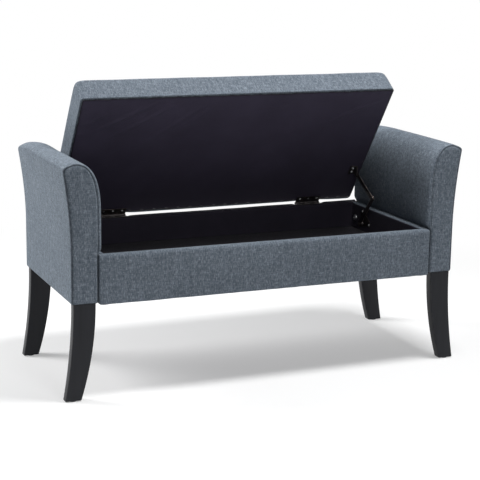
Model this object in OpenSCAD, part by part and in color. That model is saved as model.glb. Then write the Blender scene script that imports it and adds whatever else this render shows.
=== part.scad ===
// Storage bench: an upholstered box on four sabre legs, between two flared arms,
// with a padded lid on two butt hinges and two folding stays.
// The origin is on the floor, at the centre of the bench's footprint. +X runs along
// the seat, the front faces -Y and +Z is up. The lid is drawn open. Lengths are in mm.

/* [Overall size] */
// Width over the outer faces of the arms, at their foot
bench_w = 1130; // [1000:10:1300]
// Depth from the front face to the back face
bench_d = 463; // [440:1:500]
// Height of the rails' lower edge
rail_bottom_z = 256; // [230:1:262]
// Height of the rails' top edge
rail_top_z = 389; // [380:1:400]

/* [Arms] */
// Height of the arms' crest
arm_top_z = 627; // [600:1:660]
// Height of the arms' lower edge
arm_bottom_z = 262; // [240:1:266]
// Thickness of an arm beside the rail
arm_t = 72; // [68:1:90]
// How far the arm's inner face swells out over the rail
arm_swell = 11; // [8:1:14]
// How far the outer face flares out at its top corner
arm_flare = 20; // [5:1:30]
// Height of the crest above the outer top corner
arm_top_drop = 17; // [12:1:24]

/* [Upholstery] */
// Thickness of the cover cloth
cloth_t = 1.5; // [1:0.25:1.5]
// Thickness of the foam on an arm
arm_foam_t = 6.5; // [5:0.5:8]
// Thickness of the foam on the front rail
rail_foam_t = 6.5; // [4:0.5:8]
// Thickness of the padded panel on each end of an arm
end_panel_t = 4; // [3:0.5:5]
// Thickness of the black lining and dust covers
lining_t = 1; // [0.5:0.25:1]

/* [Box] */
// Thickness of the front board
front_board_t = 15; // [12:1:18]
// Thickness of the back board
back_board_t = 20; // [18:1:22]
// Thickness of the side boards
side_board_t = 18; // [15:1:20]
// Height of the storage floor's upper face
floor_top_z = 310; // [300:1:316]
// Thickness of the storage floor
floor_t = 9; // [6:1:12]

/* [Lid] */
// Thickness of the lid over its padding
lid_t = 80; // [60:1:90]
// Gap between the lid and each arm
lid_side_gap = 8; // [6:1:12]
// Distance of the closed lid's front edge behind the front face
lid_front_setback = 9.5; // [4:0.5:14]
// Distance of the closed lid's rear edge in front of the back face
lid_rear_setback = 2.5; // [1:0.5:3]
// Angle between the open lid and the closed lid
lid_open = 55; // [40:1:60]

/* [Legs] */
// Width of a leg at its top
leg_top_w = 60; // [50:1:62]
// Width of a leg at the floor
leg_foot_w = 43.5; // [36:0.5:50]
// Thickness of a leg from front to back
leg_t = 26; // [24:1:32]
// How far a leg's foot curves outwards
leg_splay = 24; // [10:1:35]

/* [Hinges] */
// Length of a hinge
hinge_len = 80; // [60:5:100]
// Distance of the left hinge's middle from the bench's middle
hinge_left_x = 306; // [250:1:360]
// Distance of the right hinge's middle from the bench's middle
hinge_right_x = 325; // [250:1:360]
// Radius of the hinge pins
pin_r = 2; // [1.5:0.25:2.25]

/* [Stays] */
// Distance of the stay's lid pivot from the hinge pin, along the lid
stay_reach = 122; // [110:1:126]
// Distance of the stay's box pivot in front of the hinge pin
stay_base_reach = 100; // [90:1:110]
// Height of the stay's box pivot above the storage floor
stay_base_h = 24; // [23:1:30]
// Radius of the rounded ends of the stay's links
stay_end_r = 8; // [7:0.5:8.5]

/* [Hidden] */
$fn = 48;
arm_out_x = bench_w / 2;
arm_in_x = arm_out_x - arm_t;
arm_swell_x = arm_in_x - arm_swell;
crest_x = arm_out_x - 9;
shoulder_z = arm_top_z - arm_top_drop;
flare_start_z = rail_top_z + 11;
arm_curve_h = 135;
arm_core_inset = cloth_t + arm_foam_t;
end_y = bench_d / 2;
base_rail_h = 26;
former_t = 15;
batten_t = 20;
batten_h = 40;
batten_z = floor_top_z + 15;
crest_batten_x = crest_x - 26;
crest_batten_z = arm_top_z - 47;
seam_inset = 4;

box_half_w = arm_in_x - 3;
side_cap_out = arm_in_x - 0.5;
side_board_out = side_cap_out - cloth_t;
side_board_in = side_board_out - side_board_t;
lining_out_x = side_board_in - cloth_t;
lining_in_x = lining_out_x - lining_t;
front_rail_w = rail_foam_t + front_board_t + 2 * cloth_t;
back_rail_w = back_board_t + 2 * cloth_t;
rail_in_front = -end_y + front_rail_w;
rail_in_back = end_y - back_rail_w;
board_top_z = rail_top_z - cloth_t;
board_bottom_z = rail_bottom_z + cloth_t;
cloth_turn_in = 14;
front_edge_r = 9;
back_edge_r = 4;

pin_y = end_y + 5;
pin_z = rail_top_z + 2;
leaf_t = 1.6;
leaf_gap = 0.8;
knuckle_r = 4.2;
knuckle_count = 5;
knuckle_gap = 0.4;
notch_clearance = 0.5;
running = 0.05;
leaf_front_y = end_y - 20.5;
hinge_screw_y = end_y - 12.5;
hinge_screw_pitch = 0.35 * hinge_len;
screw_r = 1.75;
screw_head_r = 3.4;
screw_len = 14;
screw_hold = 11;

lid_half_w = arm_swell_x - lid_side_gap;
lid_front_y = -end_y + lid_front_setback;
lid_rear_y = end_y - lid_rear_setback;
lid_under_z = pin_z + leaf_t + leaf_gap / 2;
lid_bottom_z = lid_under_z + lining_t;
lid_top_z = lid_bottom_z + lid_t;
lid_board_t = 12;
lid_board_bottom_z = lid_bottom_z + cloth_t;
lid_edge_r = 12;
lid_cloth_turn = 24;
dust_cover_margin = 12;

leg_glide_h = 3;
leg_glide_r = 10;
leg_outer_x = arm_out_x - 6;
leg_inner_x = leg_outer_x - leg_top_w;
leg_y = end_y - 2.5 - leg_t / 2;
leg_foot_x = leg_outer_x + leg_splay - leg_foot_w / 2;
leg_bolt_r = 4;
leg_bolt_grip = 28;
leg_bolt_x = [leg_inner_x + 16, leg_outer_x - 16];
glide_shank_r = 2;
glide_shank_len = 12;

arm_bolt_r = 4;
arm_bolt_y = 185;
arm_bolt_z = batten_z + batten_h / 2;

plate_t = 2;
link_gap = 0.5;
stay_boss_h = 9.5;
stay_boss_r = 7;
stay_drop = 13;
stay_waist = 0.5;
rivet_r = 3;
rivet_head_r = 5.5;
rivet_head_h = 1.7;
open_pivot_r = 3.5;
bracket_in_x = lining_in_x - plate_t;
lower_link_x = bracket_in_x - stay_boss_h - link_gap - plate_t;
upper_link_x = lower_link_x - link_gap - plate_t;
ear_x = upper_link_x - link_gap - plate_t;
lid_flange_w = 24;
lid_flange_len = 34;
screw_head_h = 1.5;
// Pivots of a stay, as [y, z]
base_pivot = [pin_y - stay_base_reach, floor_top_z + stay_base_h];
lid_pivot = [pin_y - stay_reach, lid_under_z - stay_drop];
hinge_point = [pin_y, pin_z];
lid_pivot_open = hinge_point + turned(lid_pivot - hinge_point, -lid_open);
elbow_pivot = base_pivot + lid_pivot_open - hinge_point;
bracket_screws = [[base_pivot[0] + 2, base_pivot[1] + 38], [base_pivot[0] + 20, base_pivot[1] - 4],
    [base_pivot[0] - 42, base_pivot[1] + 4]];
flange_screws = [lid_pivot[0] - 4, lid_pivot[0] - 18];

cloth = "slategray";
black_cloth = "#222226";
timber = "burlywood";
foam = "lightyellow";
black_steel = "#2b2623";
zinc = "silver";

// A vector in the Y-Z plane, turned by an angle from Y towards Z
function turned(v, a) = [v[0] * cos(a) - v[1] * sin(a), v[0] * sin(a) + v[1] * cos(a)];

function mix(a, b, t) = a + (b - a) * t;

// Section of the right arm in the X-Z plane, drawn smaller by an inset, above foot_z:
// flared outer face, top that slopes to the crest, elliptic inner curve and tucked foot
function arm_outline(inset, foot_z) = concat(
    [[arm_out_x - inset, foot_z]],
    [for (t = [0 : 0.125 : 1])
        [arm_out_x - inset + arm_flare * pow(t, 1.8), mix(flare_start_z, shoulder_z - inset, t)]],
    [for (t = [0.8 : -0.2 : 0])
        [mix(crest_x, arm_out_x + arm_flare - inset, t), arm_top_z - inset - arm_top_drop * pow(t, 1.4)]],
    [for (a = [10 : 10 : 90])
        [crest_x - (crest_x - arm_swell_x - inset) * sin(a),
            arm_top_z - arm_curve_h + (arm_curve_h - inset) * cos(a)]],
    [[arm_swell_x + inset, rail_top_z + 13], [arm_in_x + inset, rail_top_z], [arm_in_x + inset, foot_z]]);

// Children for the right side (side 1), or mirrored for the left side (side -1)
module on_side(side) mirror([side < 0 ? 1 : 0, 0, 0]) children();

module both_sides() {
    on_side(1) children();
    on_side(-1) children();
}

// An X-Z outline, extruded from y0 to y1
module along_y(y0, y1) translate([0, y1, 0]) rotate([90, 0, 0]) linear_extrude(y1 - y0) children();

// A Y-Z outline, extruded from x0 to x1
module along_x(x0, x1) translate([x0, 0, 0]) rotate([90, 0, 90]) linear_extrude(x1 - x0) children();

// A rod along X, from x0 to x1, through the point [y, z]
module x_rod(r, x0, x1, p) translate([x0, p[0], p[1]]) rotate([0, 90, 0]) cylinder(r = r, h = x1 - x0);

// The closed lid's children, swung open about the hinge pin
module opened() translate([0, pin_y, pin_z]) rotate([-lid_open, 0, 0]) translate([0, -pin_y, -pin_z])
    children();

// A flat bar from p to q with round ends, a little narrower between them
module bar(p, q) {
    half_w = stay_end_r - stay_waist;
    for (end = [p, q]) translate(end) circle(stay_end_r);
    translate(p) rotate(atan2(q[1] - p[1], q[0] - p[0])) translate([0, -half_w])
        square([norm(q - p), 2 * half_w]);
}

// Section of a rail, outer face at 0, both top edges rounded
module rail_section(w, r, inset) {
    top = rail_top_z - inset;
    bottom = rail_bottom_z + inset;
    round_r = r - inset;
    translate([inset, bottom]) square([w - 2 * inset, top - round_r - bottom]);
    translate([inset + round_r, bottom]) square([w - 2 * inset - 2 * round_r, top - bottom]);
    for (y = [inset + round_r, w - inset - round_r]) translate([y, top - round_r]) circle(round_r);
}

module front_section(inset) translate([-end_y, 0]) rail_section(front_rail_w, front_edge_r, inset);

module back_section(inset) translate([end_y, 0]) mirror([1, 0]) rail_section(back_rail_w, back_edge_r, inset);

// Holes or shafts of the bolts that hold an arm to the box
module arm_bolt_shafts(x0, x1) for (y = [-arm_bolt_y, arm_bolt_y]) x_rod(arm_bolt_r, x0, x1, [y, arm_bolt_z]);

// Holes or shafts of the two bolts of each leg on the right side
module leg_bolt_shafts(z0, z1) for (x = leg_bolt_x) for (y = [-leg_y, leg_y])
    translate([x, y, z0]) cylinder(r = leg_bolt_r, h = z1 - z0);

// Holes or shafts of the screws in the hinge leaves, at each hinge's middle and ends
module hinge_screw_shafts(z0, z1) for (middle = [-hinge_left_x, hinge_right_x]) for (i = [-1 : 1])
    translate([middle + i * hinge_screw_pitch, hinge_screw_y, z0]) cylinder(r = screw_r, h = z1 - z0);

// Holes or shafts of the screws in the right stay's box bracket
module bracket_screw_shafts(x0, x1) for (p = bracket_screws) x_rod(screw_r, x0, x1, p);

// Holes or shafts of the screws in the right stay's lid bracket, with the lid closed
module flange_screw_shafts(z0, z1) for (y = flange_screws)
    translate([ear_x - lid_flange_w / 2, y, z0]) cylinder(r = screw_r, h = z1 - z0);

// Sewn cover round an arm: outer side, top, inner side and underside
module arm_cover(side) color(cloth) on_side(side) difference() {
    along_y(-end_y + end_panel_t / 2, end_y - end_panel_t / 2) polygon(arm_outline(0, arm_bottom_z));
    along_y(-end_y, end_y) polygon(arm_outline(cloth_t, arm_bottom_z + cloth_t));
    arm_bolt_shafts(arm_in_x - 1, arm_in_x + cloth_t + 1);
    leg_bolt_shafts(arm_bottom_z - 1, arm_bottom_z + cloth_t + 1);
}

// Thin foam between an arm's frame and its cover, open at the foot
module arm_foam(side) color(foam) on_side(side) difference() {
    along_y(-end_y + end_panel_t, end_y - end_panel_t)
        polygon(arm_outline(cloth_t, arm_bottom_z + cloth_t));
    along_y(-end_y, end_y) polygon(arm_outline(arm_core_inset, arm_bottom_z));
    arm_bolt_shafts(arm_in_x, arm_in_x + arm_core_inset + 1);
}

// Padded panel that closes an arm's front (end -1) or back (end 1), inside the cover's seam
module arm_end_panel(side, end) color(cloth) on_side(side)
    along_y(min(end * end_y, end * (end_y - end_panel_t)), max(end * end_y, end * (end_y - end_panel_t)))
        polygon(arm_outline(seam_inset, arm_bottom_z + cloth_t));

// Shaped board inside an arm's front (end -1) or back (end 1), standing on the base rail
module arm_former(side, end) {
    outer = end_y - end_panel_t;
    color(timber) on_side(side)
        along_y(min(end * outer, end * (outer - former_t)), max(end * outer, end * (outer - former_t)))
            polygon(arm_outline(arm_core_inset, arm_bottom_z + cloth_t + base_rail_h));
}

// Rail at the foot of each arm, which the legs bolt to
module arm_base_rails() color(timber) both_sides() difference() {
    translate([arm_in_x + arm_core_inset, -end_y + end_panel_t, arm_bottom_z + cloth_t])
        cube([arm_t - 2 * arm_core_inset, bench_d - 2 * end_panel_t, base_rail_h]);
    leg_bolt_shafts(arm_bottom_z, arm_bottom_z + cloth_t + base_rail_h + 1);
}

// Three battens in each arm, from former to former: crest, outer side and inner side
module arm_battens() color(timber) both_sides() {
    reach = end_y - end_panel_t - former_t;
    translate([crest_batten_x, -reach, crest_batten_z]) cube([batten_h, 2 * reach, batten_t]);
    translate([arm_out_x - arm_core_inset - batten_t, -reach, batten_z])
        cube([batten_t, 2 * reach, batten_h]);
    difference() {
        translate([arm_in_x + arm_core_inset, -reach, batten_z]) cube([batten_t, 2 * reach, batten_h]);
        arm_bolt_shafts(arm_in_x, arm_in_x + arm_core_inset + batten_t + 1);
    }
}

// Bolts with washers, from inside the box into the arms' inner battens
module arm_bolts() {
    washer_r = 10;
    washer_t = 1.5;
    head_r = 7;
    head_h = 4;
    socket_r = 2.9;
    color(zinc) both_sides() for (y = [-arm_bolt_y, arm_bolt_y]) difference() {
        union() {
            x_rod(washer_r, lining_in_x - washer_t, lining_in_x, [y, arm_bolt_z]);
            x_rod(head_r, lining_in_x - washer_t - head_h, lining_in_x - washer_t, [y, arm_bolt_z]);
            x_rod(arm_bolt_r, lining_in_x - 1, arm_in_x + arm_core_inset + batten_t, [y, arm_bolt_z]);
        }
        translate([lining_in_x - washer_t - head_h - 1, y, arm_bolt_z]) rotate([0, 90, 0])
            cylinder(r = socket_r, h = 3.5, $fn = 6);
    }
}

// Board behind the front rail's foam
module box_front_board() color(timber) along_x(-box_half_w + cloth_t, box_half_w - cloth_t)
    intersection() {
        front_section(cloth_t);
        translate([-end_y + cloth_t + rail_foam_t, rail_bottom_z]) square([front_board_t, rail_top_z]);
    }

// Foam on the outside of the front board, rounded over its top edge
module front_rail_foam() color(foam) along_x(-box_half_w + cloth_t, box_half_w - cloth_t)
    intersection() {
        front_section(cloth_t);
        translate([-end_y + cloth_t, rail_bottom_z]) square([rail_foam_t, rail_top_z]);
    }

// Cloth over the front rail, turned in under it and over its top edge
module front_rail_cover() color(cloth) difference() {
    along_x(-box_half_w, box_half_w) front_section(0);
    along_x(-box_half_w + cloth_t, box_half_w - cloth_t) front_section(cloth_t);
    translate([-bench_w / 2, rail_in_front - cloth_t, 0])
        cube([bench_w, bench_d, rail_top_z - cloth_turn_in]);
}

// Board that the hinges are screwed to
module box_back_board() color(timber) difference() {
    along_x(-box_half_w + cloth_t, box_half_w - cloth_t) back_section(cloth_t);
    hinge_screw_shafts(rail_top_z - screw_len, rail_top_z);
}

// Cloth over the back rail
module back_rail_cover() color(cloth) difference() {
    along_x(-box_half_w, box_half_w) back_section(0);
    along_x(-box_half_w + cloth_t, box_half_w - cloth_t) back_section(cloth_t);
    translate([-bench_w / 2, rail_in_back + cloth_t - bench_d, 0])
        cube([bench_w, bench_d, rail_top_z - cloth_turn_in]);
    hinge_screw_shafts(board_top_z - 1, rail_top_z + 1);
}

// End board of the box, between the front and back boards, relieved at its upper corners
// for the cloth turned in over those boards
module box_side_board(side) color(timber) on_side(side) difference() {
    translate([side_board_in, rail_in_front - cloth_t, board_bottom_z])
        cube([side_board_t, rail_in_back - rail_in_front + 2 * cloth_t, board_top_z - board_bottom_z]);
    for (y = [rail_in_front - bench_d, rail_in_back])
        translate([0, y, rail_top_z - cloth_turn_in]) cube([bench_w, bench_d, cloth_turn_in]);
    arm_bolt_shafts(side_board_in - 1, side_board_out + 1);
    bracket_screw_shafts(side_board_in - 1, side_board_in + screw_hold);
}

// Cloth folded over the top edge of an end board
module side_rail_cover(side) color(cloth) on_side(side) difference() {
    translate([lining_out_x, rail_in_front, rail_top_z - 3 * cloth_turn_in])
        cube([side_cap_out - lining_out_x, rail_in_back - rail_in_front, 3 * cloth_turn_in]);
    translate([side_board_in, -end_y, 0]) cube([side_board_t, bench_d, board_top_z]);
    translate([0, -end_y, 0]) cube([side_board_in, bench_d, rail_top_z - cloth_turn_in]);
    arm_bolt_shafts(side_board_in, side_cap_out + 1);
}

// Storage floor, resting on the cleats
module box_floor() color(timber)
    translate([-side_board_in, rail_in_front - cloth_t, floor_top_z - floor_t])
        cube([2 * side_board_in, rail_in_back - rail_in_front + 2 * cloth_t, floor_t]);

// Cleats fixed to the front and back boards under the storage floor
module floor_cleats() {
    cleat = 20;
    reach = side_board_in - 40;
    color(timber) for (y = [rail_in_front - cloth_t, rail_in_back + cloth_t - cleat])
        translate([-reach, y, floor_top_z - floor_t - cleat]) cube([2 * reach, cleat, cleat]);
}

// Black lining of the storage space: four walls and a floor
module box_lining() color(black_cloth) difference() {
    translate([-lining_out_x, rail_in_front, floor_top_z])
        cube([2 * lining_out_x, rail_in_back - rail_in_front, rail_top_z - 3 - floor_top_z]);
    translate([-lining_in_x, rail_in_front + lining_t, floor_top_z + lining_t])
        cube([2 * lining_in_x, rail_in_back - rail_in_front - 2 * lining_t, rail_top_z]);
    both_sides() {
        arm_bolt_shafts(lining_in_x - 1, lining_out_x + 1);
        bracket_screw_shafts(lining_in_x - 1, lining_out_x + 1);
    }
}

// Black dust cover stapled under the box
module box_dust_cover() {
    margin = 10;
    color(black_cloth) translate([-box_half_w + margin, -end_y + margin, rail_bottom_z - lining_t])
        cube([2 * (box_half_w - margin), bench_d - 2 * margin, lining_t]);
}

// One long edge of a leg: straight at its top, curving outwards to the foot
function leg_edge(top_x, foot_shift) = [for (t = [0 : 0.125 : 1])
    [top_x + foot_shift * pow(1 - t, 2), mix(leg_glide_h, arm_bottom_z, t)]];

// Sabre leg under an arm, wide at its top
module leg(side, end) {
    outer = leg_edge(leg_outer_x, leg_splay);
    inner = leg_edge(leg_inner_x, leg_splay + leg_top_w - leg_foot_w);
    color("#26262a") on_side(side) difference() {
        along_y(end * leg_y - leg_t / 2, end * leg_y + leg_t / 2)
            polygon(concat(outer, [for (i = [len(inner) - 1 : -1 : 0]) inner[i]]));
        leg_bolt_shafts(arm_bottom_z - leg_bolt_grip, arm_bottom_z + 1);
        translate([leg_foot_x, end * leg_y, 0])
            cylinder(r = glide_shank_r, h = leg_glide_h + glide_shank_len);
    }
}

// Hanger bolts, two from each leg into the arm's base rail
module leg_bolts() color(zinc) both_sides()
    leg_bolt_shafts(arm_bottom_z - leg_bolt_grip, arm_bottom_z + cloth_t + base_rail_h);

// Nail-in glides under the legs
module leg_glides() color("#1c1c1e") both_sides() for (y = [-leg_y, leg_y]) translate([leg_foot_x, y, 0]) {
    cylinder(r = leg_glide_r, h = leg_glide_h);
    cylinder(r = glide_shank_r, h = leg_glide_h + glide_shank_len);
}

// One leaf of a hinge, with the lid closed. Even knuckles belong to the box leaf and odd
// ones to the lid leaf. The flat is notched where the other leaf's knuckles turn.
module hinge_leaf(middle, is_lid) {
    z0 = is_lid ? pin_z + leaf_gap / 2 : pin_z - leaf_gap / 2 - leaf_t;
    segment = hinge_len / knuckle_count;
    first_x = middle - hinge_len / 2;
    notch_y = pin_y - knuckle_r - notch_clearance;
    difference() {
        union() {
            difference() {
                translate([first_x, leaf_front_y, z0]) cube([hinge_len, pin_y - leaf_front_y, leaf_t]);
                for (i = [0 : knuckle_count - 1]) if ((i % 2 == 0) == is_lid)
                    translate([first_x + i * segment - knuckle_gap / 2, notch_y, z0 - 1])
                        cube([segment + knuckle_gap, knuckle_r * 2, leaf_t + 2]);
            }
            for (i = [0 : knuckle_count - 1]) if ((i % 2 == 1) == is_lid)
                x_rod(knuckle_r, first_x + i * segment + knuckle_gap / 2,
                    first_x + (i + 1) * segment - knuckle_gap / 2, hinge_point);
        }
        x_rod(pin_r + running, first_x - 1, first_x + hinge_len + 1, hinge_point);
        for (i = [-1 : 1]) translate([middle + i * hinge_screw_pitch, hinge_screw_y, z0])
            hinge_screw_head(is_lid);
    }
}

// Countersunk head of a hinge screw, as thick as the leaf: its wide side faces the other leaf
module hinge_screw_head(is_lid)
    cylinder(r1 = is_lid ? screw_head_r : screw_r, r2 = is_lid ? screw_r : screw_head_r, h = leaf_t);

module hinge_box_leaf(middle) color(black_steel) hinge_leaf(middle, false);

module hinge_lid_leaf(middle) color(black_steel) opened() hinge_leaf(middle, true);

// Pins of both hinges, with a flat head on each end
module hinge_pins() {
    head_h = 1;
    color(black_steel) for (middle = [-hinge_left_x, hinge_right_x]) {
        x_rod(pin_r, middle - hinge_len / 2 - head_h, middle + hinge_len / 2 + head_h, hinge_point);
        for (x = [middle - hinge_len / 2 - head_h, middle + hinge_len / 2])
            x_rod(pin_r + 1, x, x + head_h, hinge_point);
    }
}

module hinge_box_screws() color(zinc) {
    hinge_screw_shafts(rail_top_z - screw_len, rail_top_z);
    for (middle = [-hinge_left_x, hinge_right_x]) for (i = [-1 : 1])
        translate([middle + i * hinge_screw_pitch, hinge_screw_y, rail_top_z]) hinge_screw_head(false);
}

module hinge_lid_screws() color(zinc) opened() {
    hinge_screw_shafts(lid_under_z, lid_under_z + screw_len);
    for (middle = [-hinge_left_x, hinge_right_x]) for (i = [-1 : 1])
        translate([middle + i * hinge_screw_pitch, hinge_screw_y, lid_under_z - leaf_t])
            hinge_screw_head(true);
}

// Padded form of the closed lid above z0, drawn smaller by an inset
module lid_form(inset, z0) {
    r = lid_edge_r - inset;
    edge_z = lid_top_z - lid_edge_r;
    hull() for (x = [-1, 1]) for (y = [lid_front_y + lid_edge_r, lid_rear_y - lid_edge_r])
        translate([x * (lid_half_w - lid_edge_r), y, 0]) {
            translate([0, 0, z0]) cylinder(r = r, h = edge_z - z0, $fn = 32);
            translate([0, 0, edge_z]) sphere(r, $fn = 32);
        }
}

module lid_board() color(timber) opened() difference() {
    intersection() {
        translate([-lid_half_w, lid_front_y, lid_board_bottom_z])
            cube([2 * lid_half_w, lid_rear_y - lid_front_y, lid_board_t]);
        lid_form(cloth_t, lid_board_bottom_z);
    }
    hinge_screw_shafts(lid_under_z, lid_under_z + screw_len);
    both_sides() flange_screw_shafts(lid_under_z, lid_under_z + screw_len);
}

module lid_foam() color(foam) opened() lid_form(cloth_t, lid_board_bottom_z + lid_board_t);

// Cloth over the lid, turned in and stapled under the board's edge
module lid_cover() color(cloth) opened() difference() {
    lid_form(0, lid_bottom_z);
    lid_form(cloth_t, lid_board_bottom_z);
    translate([-lid_half_w + lid_cloth_turn, lid_front_y + lid_cloth_turn, lid_bottom_z - 1])
        cube([2 * (lid_half_w - lid_cloth_turn), lid_rear_y - lid_front_y - 2 * lid_cloth_turn, lid_t / 2]);
    hinge_screw_shafts(lid_bottom_z - 1, lid_board_bottom_z + 1);
}

// Black dust cover stapled over the underside of the lid
module lid_dust_cover() color(black_cloth) opened() difference() {
    half_w = lid_half_w - dust_cover_margin;
    depth = lid_rear_y - lid_front_y - 2 * dust_cover_margin;
    translate([-half_w, lid_front_y + dust_cover_margin, lid_under_z]) cube([2 * half_w, depth, lining_t]);
    both_sides() flange_screw_shafts(lid_under_z - 1, lid_bottom_z + 1);
}

// Wall plate of a stay, with a raised boss for the lower link's rivet
module stay_box_bracket(side) color(black_steel) on_side(side) difference() {
    union() {
        along_x(bracket_in_x, lining_in_x) {
            for (i = [0 : 2]) bar(bracket_screws[i], bracket_screws[(i + 1) % 3]);
            polygon(bracket_screws);
        }
        x_rod(stay_boss_r, bracket_in_x - stay_boss_h, bracket_in_x, base_pivot);
    }
    x_rod(rivet_r, bracket_in_x - stay_boss_h - 1, lining_in_x + 1, base_pivot);
    bracket_screw_shafts(bracket_in_x - 1, lining_in_x + 1);
}

// Rivets that carry the lower links, through the bosses of the box brackets
module stay_box_rivets() color(black_steel) both_sides() {
    x_rod(rivet_r, lower_link_x - link_gap, lining_in_x, base_pivot);
    x_rod(rivet_head_r, lower_link_x - link_gap - rivet_head_h, lower_link_x - link_gap, base_pivot);
}

module stay_box_screws() color(zinc) both_sides() {
    bracket_screw_shafts(bracket_in_x, side_board_in + screw_hold);
    for (p = bracket_screws) x_rod(screw_head_r, bracket_in_x - screw_head_h, bracket_in_x, p);
}

// Lower link of a stay, from the box bracket to the elbow
module stay_lower_link(side) color(black_steel) on_side(side) difference() {
    along_x(lower_link_x, lower_link_x + plate_t) bar(base_pivot, elbow_pivot);
    x_rod(rivet_r + running, lower_link_x - 1, lower_link_x + plate_t + 1, base_pivot);
    x_rod(rivet_r, lower_link_x - 1, lower_link_x + plate_t + 1, elbow_pivot);
}

// Rivet fixed in the lower link, which the upper link turns on
module stay_elbow_rivet(side) color(black_steel) on_side(side) {
    x_rod(rivet_r, upper_link_x - link_gap, lower_link_x + plate_t, elbow_pivot);
    x_rod(rivet_head_r, upper_link_x - link_gap - rivet_head_h, upper_link_x - link_gap, elbow_pivot);
    x_rod(rivet_head_r, lower_link_x + plate_t, lower_link_x + plate_t + rivet_head_h, elbow_pivot);
}

// Upper link of a stay, from the elbow to the lid bracket, with a clearance hole at the lid
module stay_upper_link(side) color(black_steel) on_side(side) difference() {
    along_x(upper_link_x, upper_link_x + plate_t) bar(elbow_pivot, lid_pivot_open);
    x_rod(rivet_r + running, upper_link_x - 1, upper_link_x + plate_t + 1, elbow_pivot);
    x_rod(open_pivot_r, upper_link_x - 1, upper_link_x + plate_t + 1, lid_pivot_open);
}

// Angle bracket under the lid: a flange with two screws and an ear for the rivet
module stay_lid_bracket(side) {
    flange_front = lid_pivot[0] + stay_end_r - lid_flange_len;
    color(black_steel) opened() on_side(side) difference() {
        union() {
            translate([ear_x - lid_flange_w + plate_t, flange_front, lid_under_z - plate_t])
                cube([lid_flange_w, lid_flange_len, plate_t]);
            along_x(ear_x, ear_x + plate_t) {
                translate(lid_pivot) circle(stay_end_r);
                polygon([[flange_front, lid_under_z], [flange_front, lid_under_z - plate_t],
                    lid_pivot - 0.7 * [stay_end_r, stay_end_r], lid_pivot + [stay_end_r, 0],
                    [lid_pivot[0] + stay_end_r, lid_under_z]]);
            }
        }
        x_rod(rivet_r, ear_x - 1, ear_x + plate_t + 1, lid_pivot);
        flange_screw_shafts(lid_under_z - plate_t - 1, lid_under_z + 1);
    }
}

// Rivets fixed in the lid brackets, which the upper links turn on
module stay_lid_rivets() color(black_steel) opened() both_sides() {
    x_rod(rivet_r, ear_x, upper_link_x + plate_t + link_gap, lid_pivot);
    x_rod(rivet_head_r, ear_x - rivet_head_h, ear_x, lid_pivot);
    x_rod(rivet_head_r, upper_link_x + plate_t + link_gap, upper_link_x + plate_t + link_gap + rivet_head_h,
        lid_pivot);
}

module stay_lid_screws() color(zinc) opened() both_sides() {
    flange_screw_shafts(lid_under_z - plate_t, lid_under_z + screw_len);
    for (y = flange_screws) translate([ear_x - lid_flange_w / 2, y, lid_under_z - plate_t - screw_head_h])
        cylinder(r = screw_head_r, h = screw_head_h);
}

arm_cover(-1);  // arm_left_cover
arm_foam(-1);  // arm_left_foam
arm_end_panel(-1, -1);  // arm_left_front_panel
arm_end_panel(-1, 1);  // arm_left_back_panel
arm_former(-1, -1);  // arm_left_front_former
arm_former(-1, 1);  // arm_left_back_former
arm_cover(1);  // arm_right_cover
arm_foam(1);  // arm_right_foam
arm_end_panel(1, -1);  // arm_right_front_panel
arm_end_panel(1, 1);  // arm_right_back_panel
arm_former(1, -1);  // arm_right_front_former
arm_former(1, 1);  // arm_right_back_former
arm_base_rails();
arm_battens();
arm_bolts();
box_front_board();
box_back_board();
box_side_board(-1);  // box_left_board
box_side_board(1);  // box_right_board
box_floor();
floor_cleats();
front_rail_foam();
front_rail_cover();
back_rail_cover();
side_rail_cover(-1);  // left_rail_cover
side_rail_cover(1);  // right_rail_cover
box_lining();
box_dust_cover();
leg(-1, -1);  // front_left_leg
leg(1, -1);  // front_right_leg
leg(-1, 1);  // back_left_leg
leg(1, 1);  // back_right_leg
leg_bolts();
leg_glides();
hinge_box_leaf(-hinge_left_x);  // hinge_left_box_leaf
hinge_box_leaf(hinge_right_x);  // hinge_right_box_leaf
hinge_pins();
hinge_box_screws();
hinge_lid_leaf(-hinge_left_x);  // hinge_left_lid_leaf
hinge_lid_leaf(hinge_right_x);  // hinge_right_lid_leaf
hinge_lid_screws();
lid_board();
lid_foam();
lid_cover();
lid_dust_cover();
stay_box_bracket(-1);  // stay_left_box_bracket
stay_box_bracket(1);  // stay_right_box_bracket
stay_box_rivets();
stay_box_screws();
stay_lower_link(-1);  // stay_left_lower_link
stay_lower_link(1);  // stay_right_lower_link
stay_elbow_rivet(-1);  // stay_left_elbow_rivet
stay_elbow_rivet(1);  // stay_right_elbow_rivet
stay_upper_link(-1);  // stay_left_upper_link
stay_upper_link(1);  // stay_right_upper_link
stay_lid_bracket(-1);  // stay_left_lid_bracket
stay_lid_bracket(1);  // stay_right_lid_bracket
stay_lid_rivets();
stay_lid_screws();
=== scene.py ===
import math

import bmesh
import bpy
import numpy as np
from mathutils import Matrix, Vector, noise


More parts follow.
